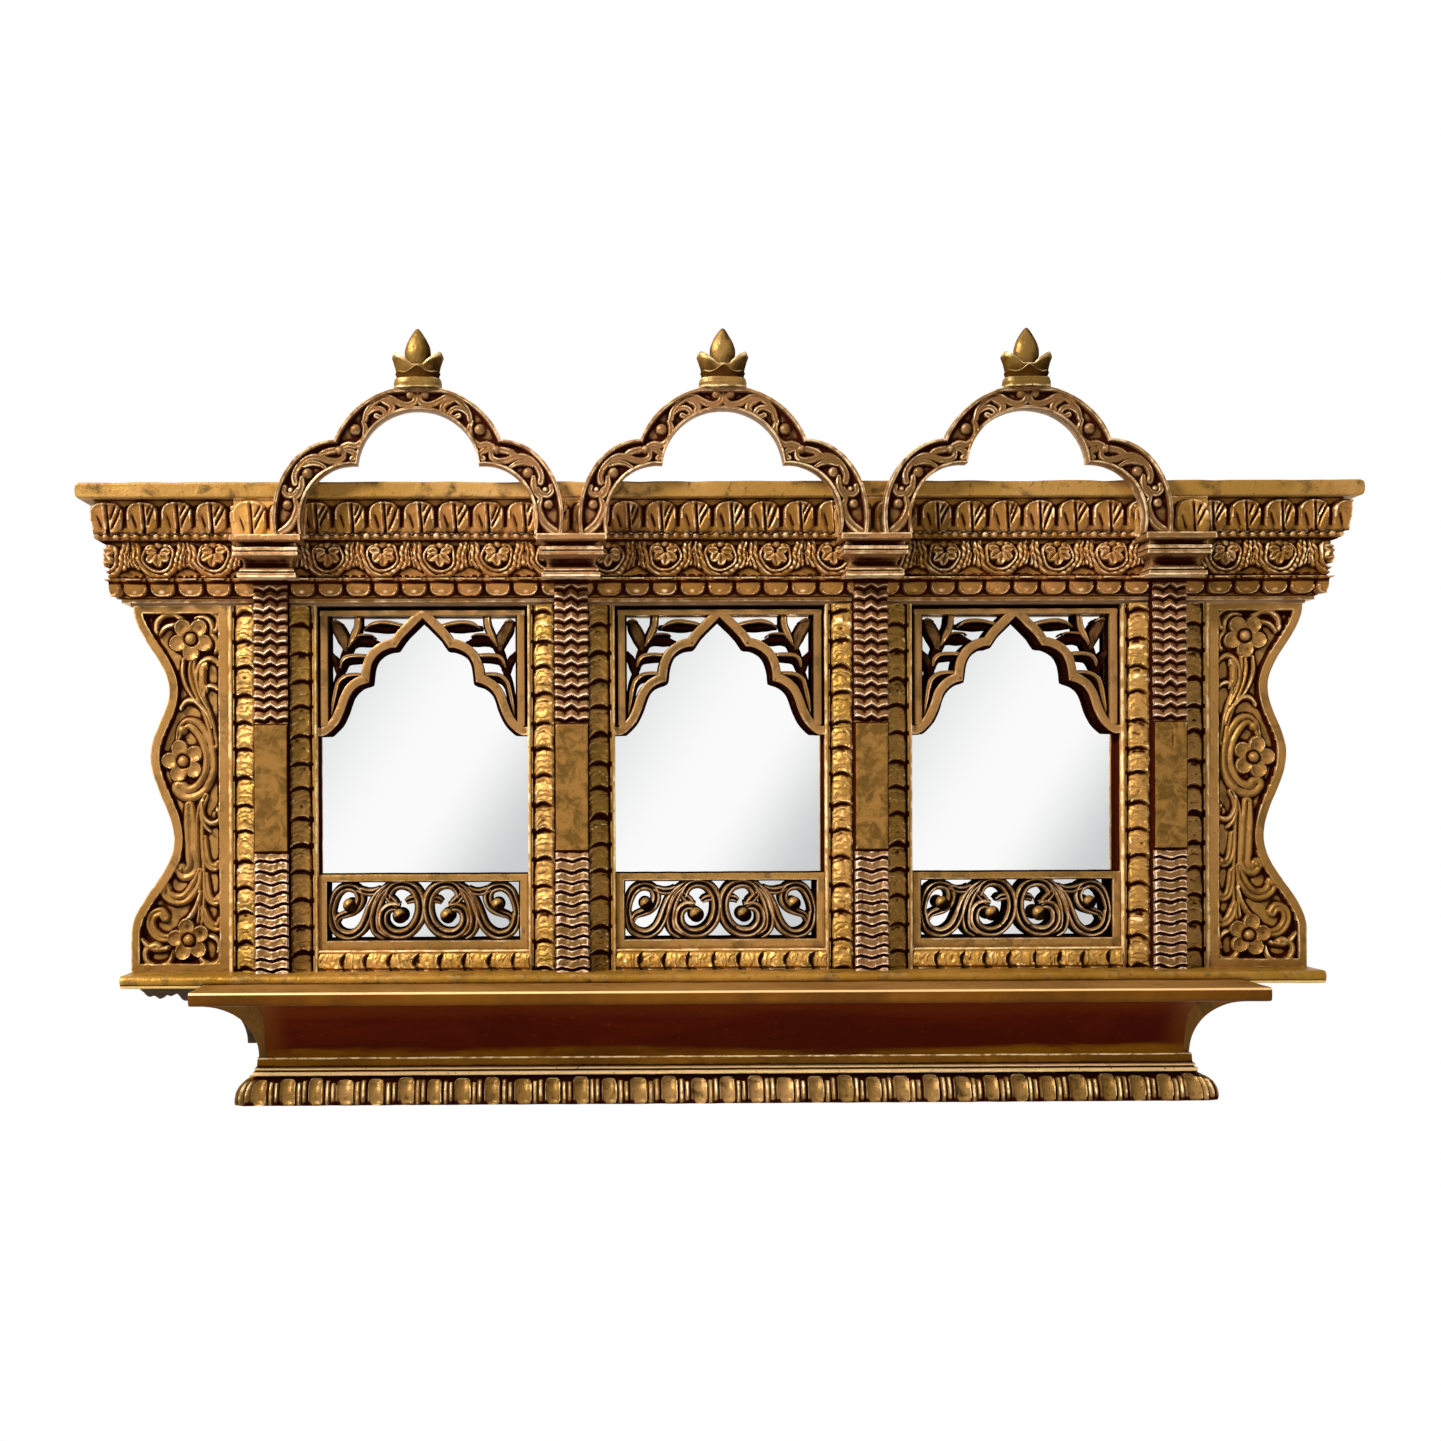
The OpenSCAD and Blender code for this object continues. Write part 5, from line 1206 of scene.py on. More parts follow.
# Carved stems: width, taper at the start and end, hollow along the middle, and the line.
# Places are measured from the bracket's upper corner at the frame, outwards and down.
STEMS = [
    (7, (0.6, 0.8), 0.35, [(35.5, -49), (36.5, -61.5), (33.5, -75), (28, -88.5), (22.5, -102), (18, -116.5),
                           (15, -133)]),
    (4, (0.8, 0.3), 0.0, [(43, -52), (43, -65.5), (37.5, -81), (29, -94.5)]),
    (4.5, (1, 0.4), 0.0, [(14, -56), (20, -53), (25.5, -56), (29, -63.5), (29, -73.5), (26.5, -85),
                          (20.5, -97.5)]),
    (8, (1, 1), 0.0, [(21.5, -61.5), (21.5, -73.5)]),
    (4, (0.6, 1), 0.0, [(23.5, -85), (20.5, -79), (15, -80)]),
    (5, (0.7, 0.4), 0.0, [(45, -97.5), (41, -93.5), (35.5, -93.5), (30, -98.5), (23.5, -106), (19, -115.5)]),
    (9.5, (0.3, 1.2), 0.3, [(50.5, -128), (47.5, -117.5), (41, -112), (33.5, -114.5), (27, -122.5),
                            (22.5, -132), (20, -143.5), (20, -156), (23.5, -166.5), (29, -174.5),
                            (36.5, -179), (44, -179), (48.5, -174.5)]),
    (5.5, (0.8, 1), 0.0, [(68, -22.5), (66, -15.5), (60.5, -11), (54, -11), (48.5, -14.5)]),
    (4, (0.6, 0.8), 0.0, [(65.5, -27), (59.5, -21.5), (53, -19.5)]),
    (4.5, (0.6, 1), 0.0, [(32, -12.5), (25.5, -12.5), (20.5, -17.5), (20.5, -24), (24.5, -27)]),
    (4.5, (0.6, 1), 0.0, [(18, -8), (14, -12.5), (15, -20.5)]),
    (4.5, (0.8, 1), 0.0, [(19, -29), (15, -34), (15, -40.5)]),
    (6.5, (0.6, 0.7), 0.45, [(23.5, -182), (28, -191.5), (30, -206), (30, -227), (29, -246.5), (28, -270.5),
                             (29, -294.5), (31, -306)]),
    (10, (0.7, 0.9), 0.25, [(39.5, -191.5), (38.5, -217.5), (37.5, -238.5), (36.5, -248.5), (39.5, -255),
                            (45, -257), (48.5, -252)]),
    (5, (0.8, 1), 0.0, [(25.5, -188.5), (23.5, -199.5), (19, -205), (13.5, -203), (13.5, -198.5)]),
    (4.5, (0.8, 0.5), 0.0, [(26.5, -199.5), (22.5, -209), (19, -214.5)]),
    (5.5, (0.8, 1), 0.2, [(25.5, -222.5), (24.5, -237), (21.5, -247.5), (16, -251), (11.5, -247.5)]),
    (5.5, (0.8, 1), 0.2, [(24.5, -258), (23.5, -270.5), (20.5, -281), (15, -284), (10.5, -279)]),
    (6.5, (0.6, 1), 0.2, [(27, -289.5), (24.5, -299.5), (19, -307), (12.5, -308), (9.5, -302)]),
    (8, (0.5, 1), 0.3, [(30, -254), (33.5, -265.5), (39.5, -275.5), (46.5, -281), (55, -281), (61.5, -276.5),
                        (63.5, -269.5)]),
    (5, (0.8, 0.6), 0.0, [(32, -275.5), (36.5, -287), (43, -297.5), (50.5, -305)]),
    (6.5, (0.7, 1), 0.25, [(56, -317.5), (66, -318.5), (73.5, -314), (77.5, -305), (75.5, -296.5),
                           (68, -293.5), (63.5, -298.5)]),
    (6, (0.5, 1), 0.0, [(58, -333), (62.5, -340), (71, -342.5), (77.5, -339), (78.5, -332), (72.5, -329)]),
    (5.5, (0.6, 0.8), 0.0, [(83, -319.5), (74.5, -325.5), (63.5, -325.5)]),
    (6, (0.6, 1), 0.0, [(29, -334), (22.5, -340), (15, -339), (13.5, -332)]),
    (5, (0.6, 1), 0.0, [(20.5, -318.5), (15, -323.5), (14, -329)]),
]
# Places and sizes of the flowers, with their turn in degrees, and of the small knobs
BLOSSOMS = [((37.5, -31), 20, -90), ((45.5, -148.5), 19.5, 3), ((41, -320.5), 19.5, 8)]
KNOBS = [((46, -118.5), 4.6), ((14.5, -200.5), 3.8), ((14, -248.5), 3.4), ((11.5, -281), 3.6),
         ((64, -270), 3.6), ((48, -252), 3.0)]
# The bracket's width at shares of its height
OUTLINE = [(0, 92), (0.23, 58), (0.41, 76), (0.64, 54), (0.9, 95.5), (1, 95.5)]


def bracket_width(share):
    """Width at a share of the height, swelling and narrowing between the outline's points."""
    share = np.clip(share, 0, 1)
    found = np.zeros(share.shape)
    for (t0, w0), (t1, w1) in zip(OUTLINE, OUTLINE[1:]):
        on = (share >= t0) & (share <= t1)
        t = (share[on] - t0) / (t1 - t0)
        found[on] = w0 + (w1 - w0) * (1 - np.cos(np.pi * t)) / 2
    return found


# Height of the panel over which the carving was traced
TRACED_HEIGHT = 351.0


def make_brackets():
    """Side brackets: scooped stems, flowers and knobs inside a plain rim."""
    for side, name in ((-1, "bracket_left"), (1, "bracket_right")):
        _, _, back, face, z0, z1 = limits(name)
        tall = z1 - z0
        z = steps(z1, z0, 0.80)
        share = (z1 - z) / tall
        wide = bracket_width(share)
        slope = np.gradient(wide, z)
        t = np.linspace(0, 1, 122)
        a = wide[:, None] * t[None, :]
        zl = np.broadcast_to((z - z1)[:, None], a.shape)
        rim_gap = (wide[:, None] - a) / np.sqrt(1 + slope[:, None] ** 2)
        edge = np.minimum.reduce([rim_gap - 8.6, a - 10.6, -zl - 7.0, zl + tall - 8.0])
        wall = ease((0.9 - edge) / 1.3)
        deep = 6.4
        ax, az = a, zl * (TRACED_HEIGHT / tall)
        # tone: painted highlights on the scoops' crests and on the petals; painted shade in the scoops'
        # hollows and round each flower's button.
        h, tone = np.zeros(a.shape), np.full(a.shape, 0.42)
        for width, taper, hollow, line in STEMS:
            if hollow:
                rise = roll(ax, az, line, width * 1.45, taper, min(0.75, hollow + 0.3))
                h = np.maximum(h, rise * min(5.8, 3.4 + width * 0.3))
                continue
            q = across(ax, az, line, width * 2.4, taper)
            inside = np.abs(q) < 1
            crest = np.where(q < -0.45, arc(q + 0.45, 0.55), ease((0.05 - q) / 0.45))
            scoop = crest * min(5.6, 3.6 + width * 0.3)
            scoop = scoop - 1.5 * np.sin(math.pi * np.clip((q + 0.05) / 1.05, 0, 1))
            use = inside & ((scoop > h) | (h <= 0.02))
            h = np.where(use, scoop, h)
            tone = np.where(use & (crest > 0.75), -0.5, tone)
            tone = np.where(use & (np.abs(q + 0.02) < 0.17) & (h < 2.0), 0.95, tone)
        for centre, r, turn in BLOSSOMS:
            gap = np.hypot(ax - centre[0], az - centre[1])
            petals = blossom(ax, az, centre, r * 1.06, turn)
            around = np.clip(h, 0, None) * ease((gap - 0.85 * r) / (0.25 * r))
            h = np.where(gap < r * 1.1, np.maximum(around, petals * 5.9), h)
            petal_tone = np.where(petals > 0.9, -0.5, np.where(gap < 0.3 * r, 0.2, 0.4))
            tone = np.where(gap < r * 1.1, petal_tone, tone)
            tone = np.where(np.abs(gap - 0.30 * r) < 0.05 * r, 0.95, tone)
        for centre, r in KNOBS:
            h = np.maximum(h, ball(ax, az, centre, r) * 5.8)
        h = h + 0.35 * waver(np.stack([a, a * 0 + 40 * (side + 1), zl], -1), 6, 9)
        carved = face - deep + np.clip(h, -1.7, deep + 0.3)
        rim_top = face - 0.7 * np.exp(-np.clip(rim_gap, 0, None) / 0.9) - 0.35 * ease((-edge - 7) / 3)
        out = carved * (1 - wall) + np.maximum(rim_top, carved) * wall
        out = np.where(a < 3, np.minimum(out, face - 0.8 * (1 - a / 3)), out)
        # Painted shade along the inside of the rim.
        tone = np.where((edge > -0.2) & (edge < 1.7) & (h < 2.5), 0.95, np.where(edge <= -0.2, 0.0, tone))
        front = np.stack([side * (frame_side + a), out, z[:, None] + 0 * a], -1)
        middle = (back + face) / 2
        ring = [(1, face - 2.4), (1, middle), (1, back + 1), (0.97, back), (0.5, back), (0.03, back),
                (0, middle)]
        rest = [column(side * (frame_side + wide * s), o, z) for s, o in ring]
        tone = np.concatenate([tone, np.full((len(z), len(ring)), 0.6)], axis=1)
        bm = skin(hand_cut(np.concatenate([front] + rest, axis=1), 0.2, 13, 130 + side), tone)
        piece(f"{name}_carving", [bm], bracket_gold, name)


# Pierced window panels

def bar(line, width, out0, out1, taper=(1, 1), crown=0.35, spacing=1.6, groove=0.0):
    """A carved bar along a line in x and z, between two distances from the wall, with a rounded front."""
    path = flowing(line, spacing)
    d = np.gradient(path, axis=0)
    d = d / np.maximum(1e-9, np.linalg.norm(d, axis=1))[:, None]
    n = np.stack([-d[:, 1], d[:, 0]], -1)
    length = np.concatenate([[0], np.cumsum(np.linalg.norm(np.diff(path, axis=0), axis=1))])
    s = length / length[-1]
    half = np.full(len(path), width / 2.0)
    half = half * np.where(s < 0.3, taper[0] + (1 - taper[0]) * ease(s / 0.3), 1)
    half = half * np.where(s > 0.6, 1 - (1 - taper[1]) * ease((s - 0.6) / 0.4), 1)
    depth = out1 - out0
    places = [-1, -1, -0.94, -0.78, -0.45, 0, 0.45, 0.78, 0.94, 1, 1, 0.6, -0.6]
    level = [0.1, 0.55, 0.76, 0.88, 0.98, 1.0 - groove, 0.98, 0.88, 0.76, 0.55, 0.1, 0, 0]
    level = [v if v < 0.5 else 1 - (1 - v) * crown / 0.35 for v in level]
    table = np.empty((len(path), len(places), 3))
    for k, (c, v) in enumerate(zip(places, level)):
        at = path + n * (half * c)[:, None]
        table[:, k, 0] = at[:, 0]
        table[:, k, 1] = out0 + depth * v
        table[:, k, 2] = at[:, 1]
    lean = np.minimum(1, np.minimum(s, 1 - s) * len(s) / 3)
    table[..., 1] = out0 + (table[..., 1] - out0) * (0.75 + 0.25 * lean)[:, None]
    return table


# Tones round a bar: painted shade on its sides and back, painted highlights along parts of its front
BAR_TONE = np.array([1, 1, 1, 0.8, -0.15, 0.5, -0.15, 0.8, 1, 1, 1, 1, 1])
SCROLL_TONE = np.array([1, 1, 1, 0.75, -0.4, 0.66, 0.5, -0.05, 0.95, 1, 1, 1, 1])
LIT_STRAND = np.array([1, 1, 1, 0.85, -0.2, -0.25, -0.1, 0.5, 1, 1, 1, 1, 1])


def flat_ring(x0, x1, z0, z1, rails, out0, out1, seed):
    """A rectangular frame of four mitred rails, with softened edges, painted shade on its outer side and
    inner step, and a painted highlight along its inner arris.
    """
    left, right, low, high = rails
    outer = np.array([(x0, z0), (x1, z0), (x1, z1), (x0, z1)], float)
    inner = np.array([(x0 + left, z0 + low), (x1 - right, z0 + low), (x1 - right, z1 - high),
                      (x0 + left, z1 - high)], float)
    profile = [(0, out0), (0, out1 - 0.8), (0.1, out1 - 0.1), (0.35, out1 + 0.1), (0.65, out1 + 0.1),
               (0.84, out1 - 0.1), (0.88, out1 - 2.6), (1, out1 - 3.2), (1, out0)]
    rows = []
    for k in range(4):
        a, b = outer[k], outer[(k + 1) % 4]
        c, d = inner[k], inner[(k + 1) % 4]
        for t in steps(0, 1, 3.0 / np.linalg.norm(b - a))[:-1]:
            o, i = a + (b - a) * t, c + (d - c) * t
            rows.append([(*(o + (i - o) * s), out) for s, out in profile])
    rows.append(rows[0])
    table = np.array(rows)[:, :, [0, 2, 1]]
    return skin(hand_cut(table, 0.15, 12, seed), np.array([1, 0.9, 0.2, 0.0, -0.1, -0.4, 0.95, 1, 1]))


def cusped_half(x_half, tall):
    """The cusped edge from the side up to the point, as (distance from the middle, height below the top)."""
    curves = [[(101, -126.5), (93.3, -123.8), (87.6, -119.6), (81.8, -113.4), (78, -106.5), (75.1, -99.5),
               (72.6, -91.9), (69.8, -85.4), (65.5, -80), (60.2, -76.2), (55, -74.2), (51.7, -73.4)],
              [(51.7, -73.4), (50.9, -65), (49.3, -57), (46.2, -50.2), (41.4, -45.2), (35.9, -42),
               (30.4, -40.2), (25.4, -39.8)],
              [(25.4, -39.8), (22.9, -36.2), (19.4, -31), (14.8, -26), (9.6, -20.8), (4.6, -15.8),
               (0, -11.4)]]
    found = []
    for curve in curves:
        points = flowing(curve, 2.2)
        found.append(points[:-1] if curve is not curves[-1] else points)
    found = np.vstack(found) * (x_half / 101, 1)
    return np.maximum(found, (-1e9, -tall))


# Pierced leaves: width, taper at the start and end, how far behind the face, painted shade (0 for lit
# strands, which get painted highlights), and the line, from the panel's middle and down from its top
LEAVES = [
    # Corner leaves and blades darkened as painted shade, the blades near black
    (13, (0.5, 0.4), 3.2, 0.74, [(86.6, -13.4), (80.9, -23), (76.1, -32.5), (74.2, -44)]),
    (7.5, (0.4, 0.5), 3.8, 0.84, [(89.5, -44), (84.7, -52.6), (81.8, -61.2), (80.9, -69.9)]),
    (6.5, (0.6, 0.8), 4.6, 0.98, [(57.9, -20.6), (47.4, -20.6), (35.9, -21.5), (21.5, -21.1)]),
    (10.5, (0.6, 0.4), 4.4, 0.95, [(70.3, -38.3), (63.6, -33), (54.1, -33), (41.6, -35.9)]),
    (4.8, (0.8, 0.8), 4.6, 0.98, [(78, -61.2), (74.2, -54.1), (66.5, -52.2), (54.1, -51.7)]),
    (6.5, (0.8, 0.6), 4.6, 0.98, [(83.7, -91.9), (81.8, -79.4), (77, -72.2), (70.3, -70.3), (61.7, -69.4)]),
    (9.5, (0.8, 0.8), 4.8, 0.98, [(61.7, -9.6), (62.7, -19.1), (67.5, -30.6), (73.2, -42.1), (77, -51.7),
                                  (79.4, -61.2)]),
    (8.0, (0.8, 0.5), 5.0, 0.98, [(79.4, -61.2), (82.8, -72.7), (85.2, -86.1), (87.1, -99.5),
                                  (89.5, -113.9)]),
    # Lit strands
    (8.0, (0.9, 0.3), 0.8, 0, [(61.9, -8.6), (62.7, -18.2), (65.1, -25.8), (68.9, -33.5), (71.8, -39.2)]),
    (4.8, (0.3, 0.9), 1.2, 0, [(56, -22), (49.3, -17.2), (39.7, -15.3), (29.2, -16.3), (16.7, -19.6)]),
    (2.6, (0.8, 0.6), 1.6, 0, [(71.3, -38.3), (66.5, -31.1), (60.8, -27.6), (50.2, -27.3), (46.4, -29.7)]),
    (4.8, (0.5, 0.9), 1.4, 0, [(79.6, -59.3), (77.5, -52.6), (73.2, -48.8), (64.6, -47.4), (52.2, -47.8)]),
    (4.8, (0.3, 0.9), 1.4, 0, [(88, -106.2), (86.1, -92.8), (83.7, -80.4), (80.9, -72.2), (74.2, -67),
                               (66.5, -65.6), (56, -66)]),
    (2.4, (0.6, 0.6), 1.8, 0, [(88, -14.4), (82.8, -13.9), (78, -16.3)]),
]


def make_spandrels():
    """Cusped window heads with pierced leaves in their corners."""
    for i in BAYS:
        x0, x1, back, face, z0, z1 = limits(f"spandrel_panel_{i}")
        c, half, tall = (x0 + x1) / 2, (x1 - x0) / 2, z1 - z0
        edge = cusped_half(half, tall)
        line = np.vstack([edge * (-1, 1), edge[-2::-1]])
        d = np.gradient(line, axis=0)
        d = d / np.linalg.norm(d, axis=1)[:, None]
        n = np.stack([-d[:, 1], d[:, 0]], -1)
        n[len(edge) - 1] = (0, 1)
        # Band along the cusps: a bevel painted dark as shade towards the glass, a flat gilt face, and a
        # painted highlight along its outer edge
        profile = [(-3.0, back), (-3.0, face - 6.5), (-2.2, face - 5.0), (-0.4, face - 1.4),
                   (0.2, face - 0.3), (3.6, face + 0.2), (6.6, face + 0.1), (7.9, face - 0.5),
                   (8.4, face - 3), (8.6, back)]
        table = np.empty((len(line), len(profile), 3))
        for k, (off, out) in enumerate(profile):
            at = line + n * off
            table[:, k, 0] = c + np.clip(at[:, 0], -half + 0.2, half - 0.2)
            table[:, k, 1] = out
            table[:, k, 2] = z1 + np.clip(at[:, 1], -tall, -4.8)
        tone = np.array([1, 1, 1, 0.9, 0.05, 0.1, -0.15, -0.6, 1, 1])
        parts = [skin(hand_cut(table, 0.25, 9, 140 + i), tone)]
        # Head rail with a painted highlight, under a thin slot piece painted dark as shade, and the side
        # rails between two strips painted dark as shade
        rail = rounded_box(c - half + 2.5, c + half - 2.5, back, face + 0.2, z1 - 9.6, z1 - 4.4,
                           0.8, 4, 0.15, 150 + i)
        slot = rounded_box(c - half, c + half, back, back + 2.5, z1 - 5, z1, 0.5, 6, 0.05, 152 + i)
        parts += [paint_shading(rail, -0.38), paint_shading(slot, 1.0)]
        side_rails = [(-3.0, 0, face - 5, 0.97, 0), (-10.0, -3.0, face + 0.1, -0.12, 9),
                      (-11.8, -10.0, face - 5, 1.0, 12)]
        for end in (-1, 1):
            for near, far, out, painted_shading, low in side_rails:
                strip = rounded_box(z1 - tall + low, z1 - 4.6, back, out, near, far, 0.7, 3, 0.12, 155 + i)
                for v in strip.verts:
                    v.co.x, v.co.z = c * MM + end * (half * MM + v.co.z), v.co.x
                if strip.calc_volume(signed=True) < 0:
                    bmesh.ops.reverse_faces(strip, faces=strip.faces)
                parts.append(paint_shading(strip, painted_shading))
        for width, taper, sunk, painted_shading, path in LEAVES:
            tone = np.maximum(BAR_TONE, painted_shading) if painted_shading else LIT_STRAND
            for side in (-1, 1):
                line = [(side * a, b) for a, b in path]
                t = bar(line, width, back + 0.6, face - sunk, taper, crown=0.7, groove=0.05) + (c, 0, z1)
                parts.append(skin(hand_cut(t, 0.3, 8, 160 + i), tone))
        piece(f"spandrel_carving_{i}", parts, pierced_gold, f"spandrel_panel_{i}")


# Scrolls: width, taper at the start and end, how far behind the face, and the line from the panel's
# middle and foot; then the places and radii of their round eyes
SCROLLS = [
    (5.5, (0.6, 0.8), 2.2, [(85.5, 25.5), (82, 31.5), (75, 34.5), (68.5, 37.5), (63.5, 43), (61.5, 50.5),
                            (64.5, 57.5), (71.5, 60.5), (78, 59.5), (84, 54.5), (87.5, 47), (89.5, 38),
                            (89.5, 31.5)]),
    (6.0, (0.9, 0.6), 1.2, [(89.5, 34.5), (87.5, 24), (83, 17), (75, 13.5), (67.5, 14.5), (60.5, 20),
                            (56, 27.5), (52, 38), (48, 48), (42.5, 55.5), (35.5, 61), (30, 65)]),
    (4.5, (0.8, 0.8), 1.6, [(64.5, 58.5), (56, 55.5), (49, 55.5), (42.5, 58.5)]),
    (6.6, (0.8, 0.9), 1.0, [(35.5, 50.5), (32.5, 57.5), (27, 62), (19.5, 63), (11.5, 60), (6, 53.5),
                            (3.4, 45), (3.6, 35.5), (6.5, 26.5), (12.5, 19), (20, 15), (29, 15),
                            (35.5, 19), (39.5, 25.5), (39.5, 33.5), (36.5, 38.5), (31, 41), (24, 40)]),
    (5.0, (0.8, 0.6), 2.0, [(36.5, 52.5), (31, 47), (25, 41)]),
    (4.4, (0.9, 0.7), 2.4, [(6.5, 49), (13.5, 48), (17.5, 45.5)]),
    (6.4, (0.7, 0.8), 1.8, [(34.5, 62), (41.5, 53), (46, 43), (48, 32.5), (48, 24.5), (45.5, 17),
                            (37.5, 11)]),
]
EYES = [((71.5, 43), 6.6), ((23, 32.5), 7.4)]


def make_scrolls():
    """Pierced panels of mirrored scrolls at the foot of each window."""
    lifts = np.linspace(-88, 88, 17)
    angle = np.linspace(0, 2 * math.pi, 33)[:-1]
    for i in BAYS:
        x0, x1, back, face, z0, z1 = limits(f"scroll_panel_{i}")
        c = (x0 + x1) / 2
        parts = [flat_ring(x0, x1, z0, z1, (9.4, 9.4, 10.4, 8), back, face, 170 + i)]
        for width, taper, sunk, path in SCROLLS:
            for side in (-1, 1):
                line = [(side * a, b) for a, b in path]
                t = bar(line, width * 1.9, back + 1, face - sunk, taper, crown=1, groove=0.28) + (c, 0, z0)
                parts.append(skin(hand_cut(t, 0.25, 9, 180 + i), SCROLL_TONE))
        # Each eye is painted dark as shade, with a painted highlight on its upper left front
        glint = 1.1 * hump(lifts[:, None], 48, 22) * hump(angle[None, :], 2.2, 0.8)
        for (a, b), r in EYES:
            for side in (-1, 1):
                rows = []
                for lift in np.radians(lifts):
                    rows.append(np.stack([c + side * a + r * math.cos(lift) * np.cos(angle),
                                          face - 4.6 + r * 0.9 * math.sin(lift) + 0 * angle,
                                          z0 + b + r * math.cos(lift) * np.sin(angle)], -1))
                parts.append(skin(hand_cut(np.stack(rows), 0.2, 6, 185 + i), 0.84 - glint))
        piece(f"scroll_carving_{i}", parts, scroll_gold, f"scroll_panel_{i}")


# Sill, shelf and base

def section_run(x0, x1, section, worn, seed, soft=1.2):
    """A board along X with the given section of (out, z) points, its ends a little softened."""
    x = np.concatenate([[x0, x0 + 0.35 * soft], steps(x0 + soft, x1 - soft, 4), [x1 - 0.35 * soft, x1]])
    inset = np.minimum(x - x0, x1 - x)
    shrink = np.where(inset < soft, soft - np.sqrt(np.maximum(0, soft ** 2 - (soft - inset) ** 2)), 0)
    centre = section.mean(0)
    reach = np.maximum(1, np.abs(section - centre))
    table = np.empty((len(x), len(section), 3))
    table[..., 0] = x[:, None]
    for k in (0, 1):
        move = np.sign(section[:, k] - centre[k]) * np.minimum(1, reach[:, k] / 4)
        table[..., k + 1] = section[None, :, k] - shrink[:, None] * move[None, :]
    return skin(hand_cut(table, worn, 24, seed))


def dense_loop(corners, spacing):
    """Points round a closed outline."""
    return dense_path(corners + corners[:1], spacing)[:-1]


def make_sill():
    """The sill board, with a bead along its lower edge."""
    x0, x1, back, face, z0, z1 = limits("sill_board")
    outline = [(back, z0), (face - 5, z0), (face - 2.4, z0 + 0.5), (face - 1.2, z0 + 1.6),
               (face - 1.0, z0 + 2.6), (face - 2.2, z0 + 3.2), (face - 0.6, z0 + 4.2), (face, z0 + 6),
               (face - 0.3, z0 + 8.6), (face - 1.6, z0 + 10.8), (face - 4, z1), (back, z1)]

    def bead(f, colour):
        """A painted highlight along the bead at the sill's lower edge."""
        return f.blend(f.band(z0 + 0.4, z0 + 1.0, z0 + 2.4, z0 + 3.0), colour, tint(236, 194, 112))
    finish = gilding("sill_gold", (162, 116, 48), (136, 96, 28), (222, 174, 108), patina_and_shade=0.8, mottle=1.4,
                     wear_and_highlight=0.5, glint=0.2, over=bead)
    piece("sill_gilded", [section_run(x0, x1, dense_loop(outline, 3), 0.25, 191)], finish, "sill_board")


def make_shelf():
    """The shelf, which runs on under the sill."""
    x0, x1, back, face, z0, z1 = limits("shelf")
    outline = [(back, z0), (face - 3.4, z0), (face - 1.2, z0 + 0.7), (face - 0.2, z0 + 2.2),
               (face, z1 - 3.2), (face - 0.5, z1 - 1.4), (face - 2.2, z1 - 0.2), (face - 4, z1),
               (sill_face, z1), (sill_face, sill_low), (back, sill_low)]
    piece("shelf_gilded", [section_run(x0, x1, dense_loop(outline, 3), 0.3, 192)], shelf_finish(z1), "shelf")


def quarter_hollow(foot, reach, low, rise, count):
    """A quarter of an oval, upright at its foot and level at its tip."""
    a = np.radians(np.linspace(0, 90, count))
    return np.stack([foot + reach * (1 - np.cos(a)), low + rise * np.sin(a)], -1)


def make_hollow():
    """The hollow moulding under the shelf."""
    x0, x1, back, face, z0, z1 = limits("hollow_moulding")
    foot = back + 22
    curve = quarter_hollow(foot, face - foot, z0, z1 - z0, 22)
    outline = [(back, z0)] + [tuple(p) for p in curve] + [(back, z1)]
    board = section_run(x0, x1, dense_loop(outline, 2.6), 0.3, 193, soft=0.5)
    piece("hollow_gilded", [board], hollow_finish(x1, z0, z1), "hollow_moulding")


def wing_edge(foot, tip, low, high):
    """Hollow side of the wings and of the backboard behind them, under an upright edge."""
    upright = 8
    curve = quarter_hollow(foot, tip - foot, low, high - upright - low, 30)
    return np.vstack([curve, [(tip, high - upright / 2), (tip, high)]])


def make_wings():
    """Hollow-sided boards that close the ends under the shelf."""
    for side, name in ((-1, "wing_left"), (1, "wing_right")):
        x0, x1, back, face, z0, z1 = limits(name)
        inner, outer = sorted((abs(x0), abs(x1)))
        edge = wing_edge(base_top_half, outer, z0, z1)
        outs = [back, back + 0.1, (back + face) / 2, face - 2.2, face - 0.5, face]
        pull = [1.0, 0, 0, 0, 0.5, 2.0]
        rows = []
        for x, z in edge:
            ring = [(x - p, o, z) for o, p in zip(outs, pull)]
            ring += [(x - 2 + (inner - x + 2) * t, face - 0.35 * math.exp(-t * 9), z)
                     for t in np.linspace(0, 1, 12)[1:]]
            ring += [(inner, (back + face) / 2, z), (inner, back, z)]
            rows.append(ring)
        table = np.array(rows)
        table[..., 0] *= side
        piece(f"{name}_gilded", [skin(hand_cut(table, 0.3, 18, 200 + side))], wing_gold, name)


